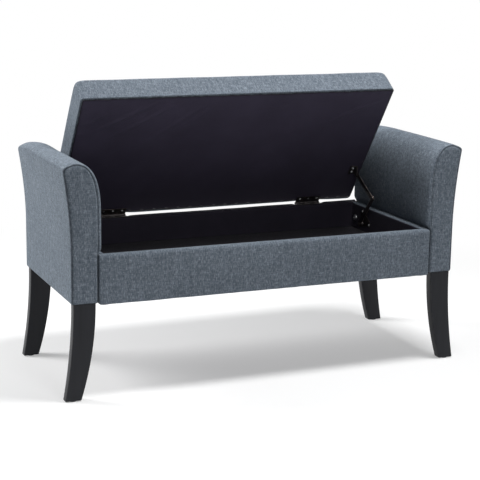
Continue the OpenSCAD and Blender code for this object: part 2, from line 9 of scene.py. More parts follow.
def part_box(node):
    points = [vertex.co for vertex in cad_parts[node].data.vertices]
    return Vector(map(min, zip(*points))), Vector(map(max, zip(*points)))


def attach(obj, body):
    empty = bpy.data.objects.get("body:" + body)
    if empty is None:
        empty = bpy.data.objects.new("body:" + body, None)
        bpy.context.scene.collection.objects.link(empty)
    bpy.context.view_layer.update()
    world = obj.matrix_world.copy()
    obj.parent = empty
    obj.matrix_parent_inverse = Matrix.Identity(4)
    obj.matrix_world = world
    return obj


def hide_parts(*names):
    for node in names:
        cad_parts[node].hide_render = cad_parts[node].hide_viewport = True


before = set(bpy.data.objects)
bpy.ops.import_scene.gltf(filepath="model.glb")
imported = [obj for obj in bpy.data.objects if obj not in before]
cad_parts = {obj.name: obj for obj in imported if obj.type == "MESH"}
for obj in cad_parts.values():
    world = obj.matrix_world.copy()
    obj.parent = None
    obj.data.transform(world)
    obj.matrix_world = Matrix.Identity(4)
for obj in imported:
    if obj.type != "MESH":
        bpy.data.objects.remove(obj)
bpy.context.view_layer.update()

scene = bpy.context.scene
scene.view_settings.view_transform = "Standard"

# ---------------------------------------------------------------------------
# Camera. A long lens stands off the bench's left front corner, a little above
# it, so that the open lid, the storage space and both arms can be seen.


def linked(name, data):
    made = bpy.data.objects.new(name, data)
    scene.collection.objects.link(made)
    return made


scene.camera = camera = linked("camera", bpy.data.cameras.new("camera"))
camera_turn, camera_rise, camera_roll = (math.radians(a) for a in (-23.14, 12.42, 0.905))
camera.data.lens = 103.8
camera.data.shift_y = -0.0052
camera.matrix_world = (
    Matrix.Translation((-1.518, -3.554, 1.2037))
    @ Matrix.Rotation(camera_turn, 4, "Z")
    @ Matrix.Rotation(math.pi / 2 - camera_rise, 4, "X")
    @ Matrix.Rotation(camera_roll, 4, "Z")
)

# ---------------------------------------------------------------------------
# Studio. A plain pale floor runs out into a white surround. Large soft lamps
# hang overhead and to the left, with a weak one in front.


def wire(tree, kind, sockets=None, **settings):
    """A new node in a tree; sockets gives an input a value, an output or a node."""
    made = tree.nodes.new(kind)
    for key, value in settings.items():
        setattr(made, key, value)
    for key, value in (sockets or {}).items():
        if isinstance(value, bpy.types.Node):
            value = value.outputs[0]
        if isinstance(value, bpy.types.NodeSocket):
            tree.links.new(value, made.inputs[key])
        else:
            made.inputs[key].default_value = value
    return made


def calc(tree, operation, *values):
    return wire(tree, "ShaderNodeMath", dict(enumerate(values)), operation=operation)


def empty_material(name):
    material = bpy.data.materials.new(name)
    material.use_nodes = True
    material.node_tree.nodes.clear()
    return material, material.node_tree


def object_place(tree):
    return wire(tree, "ShaderNodeTexCoord").outputs["Object"]


def ranged(tree, value, low=0.0, high=1.0, to_low=0.0, to_high=1.0, smooth=False):
    """Carries the range from low to high over to another one."""
    return wire(tree, "ShaderNodeMapRange", {
        "Value": value, "From Min": low, "From Max": high, "To Min": to_low, "To Max": to_high},
        interpolation_type="SMOOTHSTEP" if smooth else "LINEAR")


def seen_ray(tree):
    """1 on a ray that the eye follows, straight or in a reflection."""
    path = wire(tree, "ShaderNodeLightPath")
    seen = calc(tree, "MAXIMUM", path.outputs["Is Camera Ray"], path.outputs["Is Glossy Ray"])
    return calc(tree, "MAXIMUM", seen, path.outputs["Is Transmission Ray"])


floor_reach, floor_plain_from, floor_plain_to = 9.0, 0.9, 1.9
floor_tone, floor_glow = 0.68, 0.36
floor_mesh = bpy.data.meshes.new("studio_floor")
floor_mesh.from_pydata(
    [(x * floor_reach, y * floor_reach, 0.0) for x, y in ((-1, -1), (1, -1), (1, 1), (-1, 1))],
    [], [(0, 1, 2, 3)],
)
studio_floor = linked("studio_floor", floor_mesh)
floor_paint, tree = empty_material("floor_paint")
distance = wire(tree, "ShaderNodeVectorMath", {0: object_place(tree)}, operation="LENGTH")
far = ranged(tree, distance.outputs["Value"], floor_plain_from, floor_plain_to, smooth=True)
lit = wire(tree, "ShaderNodeBsdfDiffuse", {"Color": (floor_tone, floor_tone, floor_tone, 1.0)})
glow = wire(tree, "ShaderNodeEmission", {"Strength": floor_glow})
near_floor = wire(tree, "ShaderNodeAddShader", {0: lit, 1: glow})
plain_floor = wire(tree, "ShaderNodeEmission", {"Strength": 1.0})
shown_floor = wire(tree, "ShaderNodeMixShader", {0: far, 1: near_floor, 2: plain_floor})
pale_floor = wire(tree, "ShaderNodeBsdfDiffuse", {"Color": (0.8, 0.8, 0.8, 1.0)})
floor_shader = wire(tree, "ShaderNodeMixShader", {0: seen_ray(tree), 1: pale_floor, 2: shown_floor})
wire(tree, "ShaderNodeOutputMaterial", {"Surface": floor_shader})
floor_mesh.materials.append(floor_paint)

world = bpy.data.worlds.new("studio")
scene.world = world
world.use_nodes = True
tree = world.node_tree
tree.nodes.clear()
room_light = wire(tree, "ShaderNodeBackground", {"Color": (0.90, 0.94, 0.97, 1.0), "Strength": 0.10})
white_wall = wire(tree, "ShaderNodeBackground", {"Color": (1.0, 1.0, 1.0, 1.0), "Strength": 1.0})
around = wire(tree, "ShaderNodeMixShader", {0: seen_ray(tree), 1: room_light, 2: white_wall})
wire(tree, "ShaderNodeOutputWorld", {"Surface": around})

lamp_aim = Vector((0.0, 0.0, 0.4))


def soft_lamp(name, position, size, power):
    """A round soft lamp that hangs at position and shines on the middle of the bench."""
    lamp = bpy.data.lights.new(name, "AREA")
    lamp.shape = "DISK"
    lamp.size = size
    lamp.energy = power
    holder = linked(name, lamp)
    holder.location = position
    holder.rotation_mode = "QUATERNION"
    holder.rotation_quaternion = (lamp_aim - holder.location).to_track_quat("-Z", "Y")


soft_lamp("overhead_lamp", (0.58, -0.55, 3.2), 0.9, 84)
soft_lamp("left_lamp", (-2.4, 1.4, 2.0), 1.6, 80)
soft_lamp("front_lamp", (0.0, -3.0, 1.9), 1.0, 12)

# ---------------------------------------------------------------------------
# Cloth. A blue-grey plain weave of heathered yarns, a little thick and thin
# along their length, is used on the arms, the rails and the lid.


def effect_group(name, outputs, **inputs):
    """A shader group that puts out only masks, values and heights. An input is a number with
    its usual value, or a place where that is None."""
    tree = bpy.data.node_groups.new(name, "ShaderNodeTree")
    for label, value in inputs.items():
        kind = "NodeSocketVector" if value is None else "NodeSocketFloat"
        socket = tree.interface.new_socket(name=label, in_out="INPUT", socket_type=kind)
        if value is not None:
            socket.default_value = value
    for label in outputs:
        tree.interface.new_socket(name=label, in_out="OUTPUT", socket_type="NodeSocketFloat")
    return tree, wire(tree, "NodeGroupInput").outputs


def noise_at(tree, vector, scale, detail=2.0, roughness=0.5):
    made = wire(tree, "ShaderNodeTexNoise", {
        "Vector": vector, "Scale": scale, "Detail": detail, "Roughness": roughness})
    return made.outputs["Fac"]


def join_xyz(tree, x, y, z=0.0):
    return wire(tree, "ShaderNodeCombineXYZ", {0: x, 1: y, 2: z})


def wave(tree, count):
    return calc(tree, "SINE", calc(tree, "MULTIPLY", count, math.pi))


yarn_width, yarn_apart, yarn_change = 0.0011, 1.73, 40.0
plain_weave, given = effect_group("plain_weave", ("Tone", "Height"), Map=None, Yarn=yarn_width, Slub=0.5)
tree = plain_weave
split = wire(tree, "ShaderNodeSeparateXYZ", {0: given["Map"]}).outputs
across = calc(tree, "DIVIDE", split["X"], given["Yarn"])
along = calc(tree, "DIVIDE", split["Y"], given["Yarn"])
crossing = calc(tree, "MULTIPLY", wave(tree, across), wave(tree, along))
warp_on_top = calc(tree, "GREATER_THAN", crossing, 0.0)
crown = calc(tree, "POWER", calc(tree, "ABSOLUTE", crossing), 0.5)
warp_number, weft_number = (
    calc(tree, "MULTIPLY", calc(tree, "FLOOR", yarns), yarn_apart) for yarns in (across, along))
warp_length, weft_length = (calc(tree, "MULTIPLY", split[axis], yarn_change) for axis in "YX")
warp_tone = noise_at(tree, join_xyz(tree, warp_number, warp_length), 1.0)
weft_tone = noise_at(tree, join_xyz(tree, weft_length, weft_number, 9.0), 1.0)
yarn_tone = wire(tree, "ShaderNodeMix", {0: warp_on_top, 2: weft_tone, 3: warp_tone}).outputs[0]

# Mottle, faint bands, and streaks along the warp and the weft: how much each one counts, how
# often it changes in a metre across and along the cloth, and the kind of noise.
uneven = 0.0
for weight, per_x, per_y, layer, detail, rough in (
        (0.14, 105.0, 75.0, 2.0, 3.0, 0.7), (0.18, 100.0, 12.0, 7.0, 2.0, 0.6),
        (0.62, 480.0, 100.0, 0.0, 3.0, 0.6), (0.20, 80.0, 340.0, 5.0, 2.0, 0.6)):
    spread = join_xyz(tree, calc(tree, "MULTIPLY", split["X"], per_x),
                      calc(tree, "MULTIPLY", split["Y"], per_y), layer)
    uneven = calc(tree, "MULTIPLY_ADD", noise_at(tree, spread, 1.0, detail, rough), weight, uneven)
usual_uneven, slub_contrast = 0.57, 3.4
slubbed = calc(tree, "MULTIPLY", calc(tree, "SUBTRACT", uneven, usual_uneven), given["Slub"])
tone = calc(tree, "MULTIPLY_ADD", slubbed, slub_contrast, yarn_tone)
height = calc(tree, "MULTIPLY", crown, calc(tree, "MULTIPLY_ADD", yarn_tone, 0.5, 0.6))
wire(tree, "NodeGroupOutput", {"Tone": tone, "Height": height})


def use_group(tree, group, **sockets):
    return wire(tree, "ShaderNodeGroup", sockets, node_tree=group).outputs


def attribute(tree, name):
    return wire(tree, "ShaderNodeAttribute", attribute_name=name).outputs["Fac"]


def scaled(tree, vector, factor):
    return wire(tree, "ShaderNodeVectorMath", {0: vector, "Scale": factor}, operation="SCALE")


def ramp(tree, value, *stops):
    """A colour ramp from (position, colour) stops."""
    made = wire(tree, "ShaderNodeValToRGB", {0: value})
    points = made.color_ramp.elements
    while len(points) < len(stops):
        points.new(0.5)
    for point, (position, colour) in zip(points, stops):
        point.position = position
        point.color = (*colour, 1.0)
    return made.outputs["Color"]


def bumped(tree, height, depth, strength=1.0):
    return wire(tree, "ShaderNodeBump", {"Height": height, "Distance": depth, "Strength": strength})


def surface(tree, **sockets):
    """The material's own shader and its output; socket names have _ for a space."""
    shader = wire(tree, "ShaderNodeBsdfPrincipled", {
        key.replace("_", " "): value for key, value in sockets.items()})
    wire(tree, "ShaderNodeOutputMaterial", {"Surface": shader})


linen_cloth, tree = empty_material("linen_cloth")
weave_map = wire(tree, "ShaderNodeUVMap", uv_map="weave")
weave = use_group(tree, plain_weave, Map=weave_map, Yarn=yarn_width, Slub=0.62)
yarn_colour = ramp(tree, weave["Tone"], (0.10, (0.052, 0.068, 0.088)),
                   (0.5, (0.140, 0.168, 0.205)), (0.90, (0.310, 0.352, 0.400)))
worn = ranged(tree, noise_at(tree, object_place(tree), 5.0, 3.0), 0.3, 0.7, 0.95, 1.05)
# Painted shade: the cloth is made darker down in its seams.
seam_painted_shade = calc(tree, "MULTIPLY_ADD", attribute(tree, "seam"), -0.42, 1.0)
cloth_colour = scaled(tree, yarn_colour, calc(tree, "MULTIPLY", worn, seam_painted_shade))
surface(tree, Base_Color=cloth_colour, Roughness=0.88, Sheen_Weight=0.18, Sheen_Roughness=0.45,
        Sheen_Tint=(0.80, 0.92, 1.0, 1.0), Specular_IOR_Level=0.2,
        Normal=bumped(tree, weave["Height"], 0.0005, 0.7))

# ---------------------------------------------------------------------------
# Arms. Two shaped formers and three battens make each arm's frame. Thin foam
# goes over it, then one length of cloth over its outer side, top and inner
# side. A crowned panel of the same cloth closes each end in a plain seam.
arm_low, arm_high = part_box("arm_right_cover")
arm_out_x, arm_flare, arm_crest_x, arm_top_drop = 0.565, 0.020, 0.551, 0.013
arm_flare_from_z, arm_swell_to_z, arm_curve_h, arm_fullness = 0.400, 0.402, 0.135, 2.5
arm_top_bend, arm_flare_bend = 1.6, 1.8
arm_in_x, rail_top_z = 0.493, 0.389
inner_roll, outer_roll, back_roll = 0.0085, 0.0025, 0.0110
end_y = -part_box("arm_right_front_panel")[0].y
seam_gap, seam_bed_y, seam_bed_fall = 0.0014, end_y - 0.0055, 0.0030
inner_lip_y, outer_lip_y = end_y - 0.0015, end_y - 0.0035
over_count, foot_count = 150, 12          # points over an arm's section, and along its foot


def rising(values, start, over):
    """0 up to start, then rising evenly to 1 at start + over."""
    return np.clip((values - start) / over, 0, 1)


def arm_section(inner, outer):
    """Points round the right arm, from the foot of its inner side over the top and back,
    drawn in by inner on the inner side, and by outer on the top and the outer side."""
    top_z, foot_z = arm_high.z - outer, arm_low.z - 0.0005
    swell_x, out_x = arm_low.x + inner, arm_out_x - outer
    shoulder_z = top_z - arm_top_drop
    low_x = arm_in_x + inner * 0.15
    corners = [(low_x, foot_z), (low_x, rail_top_z), (swell_x, arm_swell_to_z)]
    centre_z = arm_high.z - arm_curve_h
    for k in range(25):
        angle = math.pi / 2 * (1 - k / 24)
        corners.append((arm_crest_x - (arm_crest_x - swell_x) * math.sin(angle) ** (2 / arm_fullness),
                        centre_z + (top_z - centre_z) * math.cos(angle) ** (2 / arm_fullness)))
    for k in range(1, 9):
        corners.append((arm_crest_x + (out_x + arm_flare - arm_crest_x) * k / 8,
                        top_z - arm_top_drop * (k / 8) ** arm_top_bend))
    for k in range(23, -1, -1):
        corners.append((out_x + arm_flare * (k / 24) ** arm_flare_bend,
                        arm_flare_from_z + (shoulder_z - arm_flare_from_z) * k / 24))
    corners.append((out_x, foot_z))
    return soft_outline(np.array(corners))


side_from_x, side_over_x = 0.520, 0.030


def arm_side(points):
    """0 on an arm's inner side, going over to 1 on its top and outer side."""
    way = rising(np.abs(points[:, 0]), side_from_x, side_over_x)
    return way * way * (3 - 2 * way)


crown_rise, crown_from_z, crown_over_z, front_dip, dip_reach = 0.0036, 0.48, 0.10, 0.0015, 0.02
droop_from_y, left_droop, right_droop = 0.11, 0.0112, 0.0060


def crowned(points):
    """The foam makes the top of an arm a little fuller in the middle, and low at the back."""
    y, high = points[:, 1], rising(points[:, 2], crown_from_z, crown_over_z)
    back = rising(y, droop_from_y, end_y - droop_from_y) ** 2
    low = np.where(points[:, 0] < 0, left_droop, right_droop)
    rise = crown_rise - front_dip * np.exp(-(y + end_y) / dip_reach) - low * back
    return points + np.outer(rise * high, (0.0, 0.0, 1.0))


def soft_outline(corners):
    """Resamples an outline closed by its foot, with every corner eased."""
    fine_over, fine_foot, ease_low, ease_high = 900, 72, 4, 6

    def resample(points, count):
        length = np.concatenate([[0], np.cumsum(np.linalg.norm(np.diff(points, axis=0), axis=1))])
        where = np.linspace(0, length[-1], count + 1)
        return np.stack([np.interp(where, length, points[:, k]) for k in (0, 1)], 1)
    dense = np.concatenate([resample(corners, fine_over)[:-1], resample(corners[[-1, 0]], fine_foot)[:-1]])

    def eased(width):
        return sum(np.roll(dense, shift, 0) for shift in range(-width, width + 1)) / (2 * width + 1)
    high = rising(dense[:, 1:], 0.50, 0.08)
    soft = eased(ease_low) * (1 - high) + eased(ease_high) * high
    picked = np.concatenate([np.linspace(0, fine_over, over_count + 1)[:-1],
                             fine_over + np.linspace(0, fine_foot, foot_count + 1)[:-1]])
    return soft[picked.round().astype(int)]


def skin(name, points, faces, corners, painted_shade=None):
    """A mesh object; corners is its weave map in metres, a pair for each face corner, and the
    last, from 0 to 1, is the painted shade at each point, deep in a seam or at a felt's edge."""
    mesh = bpy.data.meshes.new(name)
    mesh.from_pydata(np.asarray(points, float).tolist(), [], faces)
    if painted_shade is not None:
        mesh.attributes.new("seam", "FLOAT", "POINT").data.foreach_set("value", np.asarray(painted_shade))
    mesh.uv_layers.new(name="weave").data.foreach_set("uv", np.asarray(corners, np.float32).ravel())
    shell = bmesh.new()
    shell.from_mesh(mesh)
    bmesh.ops.remove_doubles(shell, verts=shell.verts, dist=1e-6)
    bmesh.ops.recalc_face_normals(shell, faces=shell.faces)
    shell.to_mesh(mesh)
    shell.free()
    return linked(name, mesh)


def quads(grid, across_first=False):
    """Each cell of a grid as the four values at its corners, row by row."""
    a, b, c, d = grid[:-1, :-1], grid[1:, :-1], grid[1:, 1:], grid[:-1, 1:]
    return np.stack((a, d, c, b) if across_first else (a, b, c, d), -1).reshape(-1, 4).tolist()


def loft(name, rings, upright=True, cap_from=0, painted_shade=None):
    """Skins closed rings of points and caps both ends, in strips from the point cap_from.
    The warp of an upright piece runs round the rings, and any other's from ring to ring."""
    rings = np.asarray(rings, float)
    stations, around = rings.shape[:2]
    steps = np.linalg.norm(np.diff(rings, axis=0), axis=2).mean(1)
    along = np.concatenate([[0], np.cumsum(steps)])
    middle = rings[stations // 2]
    arc = np.concatenate([[0], np.cumsum(np.linalg.norm(np.roll(middle, -1, 0) - middle, axis=1))])
    spots = np.arange(stations * around).reshape(stations, around)
    faces = quads(np.hstack([spots, spots[:, :1]]), across_first=True)
    u, v = (quads(grid, across_first=True) for grid in np.meshgrid(arc, along))
    corners = np.stack([v, u] if upright else [u, v], -1).reshape(-1, 2).tolist()
    for ring, first in ((rings[0], 0), (rings[-1], (stations - 1) * around)):
        flat = sorted(np.argsort(np.ptp(ring, axis=0))[1:])
        for m in range(around // 2):
            strip = [(cap_from + m) % around, (cap_from + m + 1) % around,
                     (cap_from - m - 1) % around, (cap_from - m) % around]
            strip = list(dict.fromkeys(strip))
            if len(strip) > 2:
                faces.append(tuple(first + k for k in strip))
                corners += ring[strip][:, flat].tolist()
    if painted_shade is not None:
        painted_shade = np.repeat(painted_shade, around)
    return skin(name, rings.reshape(-1, 3), faces, corners, painted_shade)


def points_of(piece):
    flat = np.empty(len(piece.data.vertices) * 3)
    piece.data.vertices.foreach_get("co", flat)
    return flat.reshape(-1, 3)


def move_points(piece, points):
    piece.data.vertices.foreach_set("co", np.asarray(points, np.float32).ravel())
    piece.data.update()


def fill_out(piece, held, reach, pressure=4.0, share=1.0):
    """Lets the cloth of a stuffed piece swell between the places where it is held, no farther
    than reach, and only by its share of the way at each point."""
    rest = points_of(piece)
    pins = piece.vertex_groups.new(name="held")
    pins.add(np.flatnonzero(held).tolist(), 1.0, "REPLACE")
    cloth = piece.modifiers.new("swell", "CLOTH")
    cloth.settings.vertex_group_mass = pins.name
    cloth.settings.use_pressure = True
    cloth.settings.uniform_pressure_force = pressure
    cloth.settings.quality = 3
    cloth.settings.effector_weights.gravity = 0.0
    cloth.collision_settings.use_collision = False
    for step in range(1, 21):
        scene.frame_set(step)
    swollen = points_of(piece.evaluated_get(bpy.context.evaluated_depsgraph_get()))
    piece.modifiers.remove(cloth)
    piece.vertex_groups.remove(pins)
    scene.frame_set(1)
    move = swollen - rest
    farthest = np.linalg.norm(move, axis=1).max()
    move *= min(1.0, reach / max(farthest, 1e-9))
    move_points(piece, rest + move * np.reshape(share, (-1, 1)))


def ripple(piece, depth, size, loose=None):
    """Uneven stuffing: moves the surface in and out by up to depth, over lumps of that size."""
    points = points_of(piece)
    normals = np.array([v.normal for v in piece.data.vertices])
    lumps = np.array([noise.noise(Vector(p) / size) for p in points])
    if loose is not None:
        lumps = lumps * loose
    move_points(piece, points + normals * (depth * lumps)[:, None])


def dress(piece, material, body, slot, *stands_for, smooth_level=0):
    """Gives a finished piece its material and its body, and hides the CAD nodes it stands for."""
    piece.data.materials.clear()
    piece.data.materials.append(material)
    piece.data.shade_smooth()
    if smooth_level:
        rounding = piece.modifiers.new("smooth", "SUBSURF")
        rounding.levels = rounding.render_levels = smooth_level
    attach(piece, body)
    if stands_for:
        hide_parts(*stands_for)
    return piece


def roll_rings(end, roll):
    """Rings of (points, depth in the seam) that run down into the seam at one end: in a wide
    roll on the inner side, where the cloth goes round, and a tight one on the outer side."""
    rings = []
    for k in range(7):
        turn, drop = math.sin(math.pi / 2 * k / 6), 1 - math.cos(math.pi / 2 * k / 6)
        points = arm_section(roll * drop, outer_roll * drop)
        share = arm_side(points)
        inner_y = inner_lip_y - roll * (1 - turn)
        outer_y = outer_lip_y - outer_roll * (1 - turn)
        rings.append((points, end * (inner_y + (outer_y - inner_y) * share), 0.35 if k == 6 else 0.0))
    points = arm_section(roll + seam_gap, outer_roll + seam_gap)
    share = arm_side(points)
    rings.append((points, end * (seam_bed_y - seam_bed_fall * share), 1.0))
    return rings


seam_depth, lip_rise, lip_width = 0.0050, 0.0042, 0.0014
bead_rise, bead_from_edge, bead_width = 0.0008, 0.0052, 0.0022
pad_roll, pad_roll_depth, pad_crown, pad_crown_reach = 0.0070, 0.0078, 0.0012, 0.020


def end_pad(name, side, end, roll):
    """Crowned panel that closes an arm's end, drawn down into the seam round it: with a
    tight lip and a slight bead on the inner side, and a wide roll on the outer side."""
    outline = arm_section(roll + seam_gap, outer_roll + seam_gap)
    over = outline[:over_count + 1]
    share = np.array([0, 0.02, 0.045, 0.08, 0.13, 0.2, 0.3, 0.4, 0.5, 0.6, 0.7, 0.8, 0.87, 0.92,
                      0.955, 0.98, 1.0])      # of the way across, closer together at the edges
    rows = [over[i] + (over[over_count - i] - over[i]) * share[:, None] for i in range(over_count // 2)]
    flat = np.array(rows).reshape(-1, 2)
    apart = np.linalg.norm(flat[:, None] - over[None], axis=2)
    edge, outer = apart.min(1), arm_side(over)[apart.argmin(1)]
    bead = bead_rise * np.exp(-((edge - bead_from_edge) / bead_width) ** 2)
    sharp = lip_rise * (1 - np.exp(-edge / lip_width)) + bead - seam_depth
    shoulder = pad_roll * np.sqrt(1 - (1 - np.clip(edge / pad_roll, 0, 1)) ** 2) - pad_roll_depth
    crown = pad_crown * (1 - np.exp(-edge / pad_crown_reach))
    rise = sharp + (shoulder - sharp) * outer + crown
    front = np.column_stack([side * flat[:, 0], end * (end_y + rise), flat[:, 1]])
    back = np.column_stack([side * flat[:, 0], np.full(len(flat), end * (end_y + rise.min() - 0.0015)),
                            flat[:, 1]])
    count = len(flat)
    grid = np.arange(count).reshape(len(rows), len(share))
    border = np.concatenate([grid[0], grid[1:, -1], grid[-1, -2::-1], grid[-2:0:-1, 0]]).tolist()
    faces = quads(grid, across_first=True) + quads(grid + count, across_first=True)
    faces += [(a, b, b + count, a + count) for a, b in zip(border, border[1:] + border[:1])]
    points = np.concatenate([front, back])
    # The points closest to the seam get the most painted shade.
    depth = np.exp(-(edge / 0.0016) ** 2)
    return skin(name, points, faces, points[np.ravel(faces)][:, [0, 2]], np.concatenate([depth, depth]))


seam_hold, foot_hold = 0.0125, 0.012      # how far in from its edges the cloth is held
for side, hand in ((-1, "left"), (1, "right")):
    front_rings, back_rings = roll_rings(-1, inner_roll), roll_rings(1, back_roll)
    plain = arm_section(0.0, 0.0)
    between = np.linspace(0, 1, 64)[1:-1, None] * (back_rings[0][1] - front_rings[0][1])
    stations = (front_rings[::-1] + [(plain, front_rings[0][1] + step, 0.0) for step in between]
                + back_rings)
    rings = [np.column_stack([side * ring[:, 0], y, ring[:, 1]]) for ring, y, _ in stations]
    # How deep each ring lies in the seam also sets how much painted shade it gets.
    wrap = loft(f"arm_{hand}_wrap", rings, cap_from=over_count + foot_count // 2,
                painted_shade=[deep for *_, deep in stations])
    move_points(wrap, crowned(points_of(wrap)))
    place = points_of(wrap)
    seam = np.abs(place[:, 1]) > end_y - seam_hold
    tucked = (place[:, 2] < arm_low.z + foot_hold) | (
        (np.abs(place[:, 0]) < arm_in_x + 0.004) & (place[:, 2] < rail_top_z + 0.004))
    fill_out(wrap, seam | tucked, 0.0022)
    ripple(wrap, 0.0007, 0.09, np.where(seam | tucked, 0.3, 1.0))
    dress(wrap, linen_cloth, "base", "cloth", f"arm_{hand}_cover", f"arm_{hand}_foam", smooth_level=1)
    for end, word, roll in ((-1, "front", inner_roll), (1, "back", back_roll)):
        pad = end_pad(f"arm_{hand}_{word}_pad", side, end, roll)
        move_points(pad, crowned(points_of(pad)))
        ripple(pad, 0.0004, 0.05)
        dress(pad, linen_cloth, "base", "cloth", f"arm_{hand}_{word}_panel", smooth_level=1)

# ---------------------------------------------------------------------------
# Rails. The box's front and back boards are wrapped in the same cloth, the front
# one over thin foam. Cloth is folded over the top edges of the end boards too.


def box_ring(low, high, radii, pitch, inset=0.0):
    """Closed outline of a rectangle with round corners, listed from its lower left corner."""
    bends = []
    for radius, (sx, sy, start) in zip(radii, ((-1, -1, 180), (1, -1, 270), (1, 1, 0), (-1, 1, 90))):
        radius = max(radius - inset, 0.0006)
        x, y = ((high if s > 0 else low)[axis] - s * (inset + radius) for axis, s in ((0, sx), (1, sy)))
        turns = [math.radians(start + 22.5 * step) for step in range(5)]
        bends.append([(x + radius * math.cos(turn), y + radius * math.sin(turn)) for turn in turns])
    points = []
    for k, bend in enumerate(bends):
        following = (k + 1) % 4
        cuts = max(1, round(((high[k % 2] - low[k % 2]) - radii[k] - radii[following]) / pitch))
        a, b = bend[-1], bends[following][0]
        points += bend + [(a[0] + (b[0] - a[0]) * c / cuts, a[1] + (b[1] - a[1]) * c / cuts)
                          for c in range(1, cuts)]
    return points


def rolled(first, last, roll, pitch):
    """(position, inset) from first to last, with both ends rounded off."""
    arc = [(roll * (1 - math.sin(a)), roll * (1 - math.cos(a)))
           for a in (math.pi / 2 * k / 4 for k in range(4, -1, -1))]
    count = max(2, round((last - first - 2 * roll) / pitch))
    middle = [(x, 0.0) for x in np.linspace(first + roll, last - roll, count + 1)[1:-1]]
    return ([(first + a, i) for a, i in arc] + middle + [(last - a, i) for a, i in reversed(arc)])


hinge_x = [sum(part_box(f"hinge_{hand}_lid_leaf")[k].x for k in (0, 1)) / 2 for hand in ("left", "right")]
rear_edge_y, hinge_half_width = 0.221, 0.042
rails = {}
for word, radii, covers, side in (
        ("front", (0.003, 0.002, 0.007, 0.009), ("front_rail_cover", "front_rail_foam"), -1),
        ("back", (0.003, 0.003, 0.004, 0.004), ("back_rail_cover",), 1)):
    low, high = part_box(covers[0])
    rings = [[(x, y, z) for y, z in box_ring((low.y, low.z), (high.y, high.z), radii, 0.006, inset)]
             for x, inset in rolled(low.x, high.x, 0.005, 0.007)]
    rail = loft(f"{word}_rail_wrap", rings)
    place = points_of(rail)
    if side > 0:  # the cloth stands up along the rear edge, and lies flat under the hinges
        full = 0.0026 + 0.0010 * np.clip(place[:, 0] / high.x, -1, 1)
        at_back = rising(place[:, 1], rear_edge_y, 0.006)
        clear = np.prod([rising(np.abs(place[:, 0] - x), hinge_half_width, 0.012) for x in hinge_x], axis=0)
        lifted = np.where(place[:, 2] > high.z - 0.004, full * at_back * clear, 0.0)
        move_points(rail, place + np.outer(lifted, (0.0, 0.0, 1.0)))
    outer = low.y if side < 0 else high.y
    facing = np.abs(place[:, 1] - outer) < 0.008
    edges = (place[:, 2] < low.z + 0.006) | (np.abs(place[:, 0]) > high.x - foot_hold)
    fill_out(rail, ~facing | edges, 0.0020)
    ripple(rail, 0.0008, 0.07, np.where(facing, 1.0, 0.2))
    dress(rail, linen_cloth, "base", "cloth", *covers, smooth_level=1)
    rails[word] = rail

for hand in ("left", "right"):
    low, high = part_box(f"{hand}_rail_cover")
    rings = [[(x, y, z) for x, z in box_ring((low.x, low.z), (high.x, high.z),
                                             (0.001, 0.001, 0.004, 0.004), 0.007, inset)]
             for y, inset in rolled(low.y, high.y, 0.0008, 0.009)]
    strip = loft(f"{hand}_rail_wrap", rings)
    ripple(strip, 0.0004, 0.04)
    dress(strip, linen_cloth, "base", "cloth", f"{hand}_rail_cover", smooth_level=1)

# ---------------------------------------------------------------------------
# Lining and dust covers. Thin black pressed felt lines the storage space, and
# closes the underside of the box and of the lid, stapled round its edges.
pressed_dots, given = effect_group("pressed_dots", ("Pit", "Fibre"), Map=None, Pitch=0.0016)
tree = pressed_dots
cells = wire(tree, "ShaderNodeTexVoronoi", {
    "Vector": given["Map"], "Scale": calc(tree, "DIVIDE", 1.0, given["Pitch"]), "Randomness": 0.12},
    voronoi_dimensions="2D")
pit = ranged(tree, cells.outputs["Distance"], 0.18, 0.34, smooth=True)
fibre = noise_at(tree, given["Map"], 900.0, 4.0, 0.65)
wire(tree, "NodeGroupOutput", {"Pit": pit, "Fibre": fibre})


def felt_material(name, pitch, dust_scale):
    """An empty material of pressed felt, with its tone and its bumps."""
    material, tree = empty_material(name)
    felt = use_group(tree, pressed_dots, Map=wire(tree, "ShaderNodeUVMap", uv_map="weave"), Pitch=pitch)
    dusty = noise_at(tree, object_place(tree), dust_scale, 4.0, 0.6)
    tone = calc(tree, "MULTIPLY_ADD", felt["Fibre"], 0.5, calc(tree, "MULTIPLY", dusty, 0.5))
    height = calc(tree, "MULTIPLY_ADD", felt["Fibre"], 0.4, felt["Pit"])
    return material, tree, tone, bumped(tree, height, 0.00025, 0.6)


black_felt, tree, felt_tone, felt_bumps = felt_material("black_felt", 0.0016, 7.0)
felt_colour = ramp(tree, felt_tone, (0.3, (0.0148, 0.0124, 0.0214)), (0.7, (0.0330, 0.0285, 0.0455)))
# Painted shade: the felt on the floor of the lining is made darker.
floor_painted_shade = calc(tree, "MULTIPLY_ADD", attribute(tree, "seam"), -0.65, 1.0)
surface(tree, Base_Color=scaled(tree, felt_colour, floor_painted_shade), Roughness=0.76,
        Specular_IOR_Level=0.24, Sheen_Weight=0.04, Normal=felt_bumps)

dust_felt, tree, felt_tone, felt_bumps = felt_material("dust_felt", 0.0020, 6.0)
# Painted shade: the felt is made darker along each sheet's edges.
felt_colour = ramp(tree, calc(tree, "MULTIPLY_ADD", attribute(tree, "seam"), -0.45, felt_tone),
                   (0.1, (0.0040, 0.0035, 0.0060)), (0.3, (0.0250, 0.0195, 0.0390)),
                   (0.7, (0.0550, 0.0450, 0.0800)))
surface(tree, Base_Color=felt_colour, Roughness=0.7, Specular_IOR_Level=0.3, Sheen_Weight=0.08,
        Normal=felt_bumps)


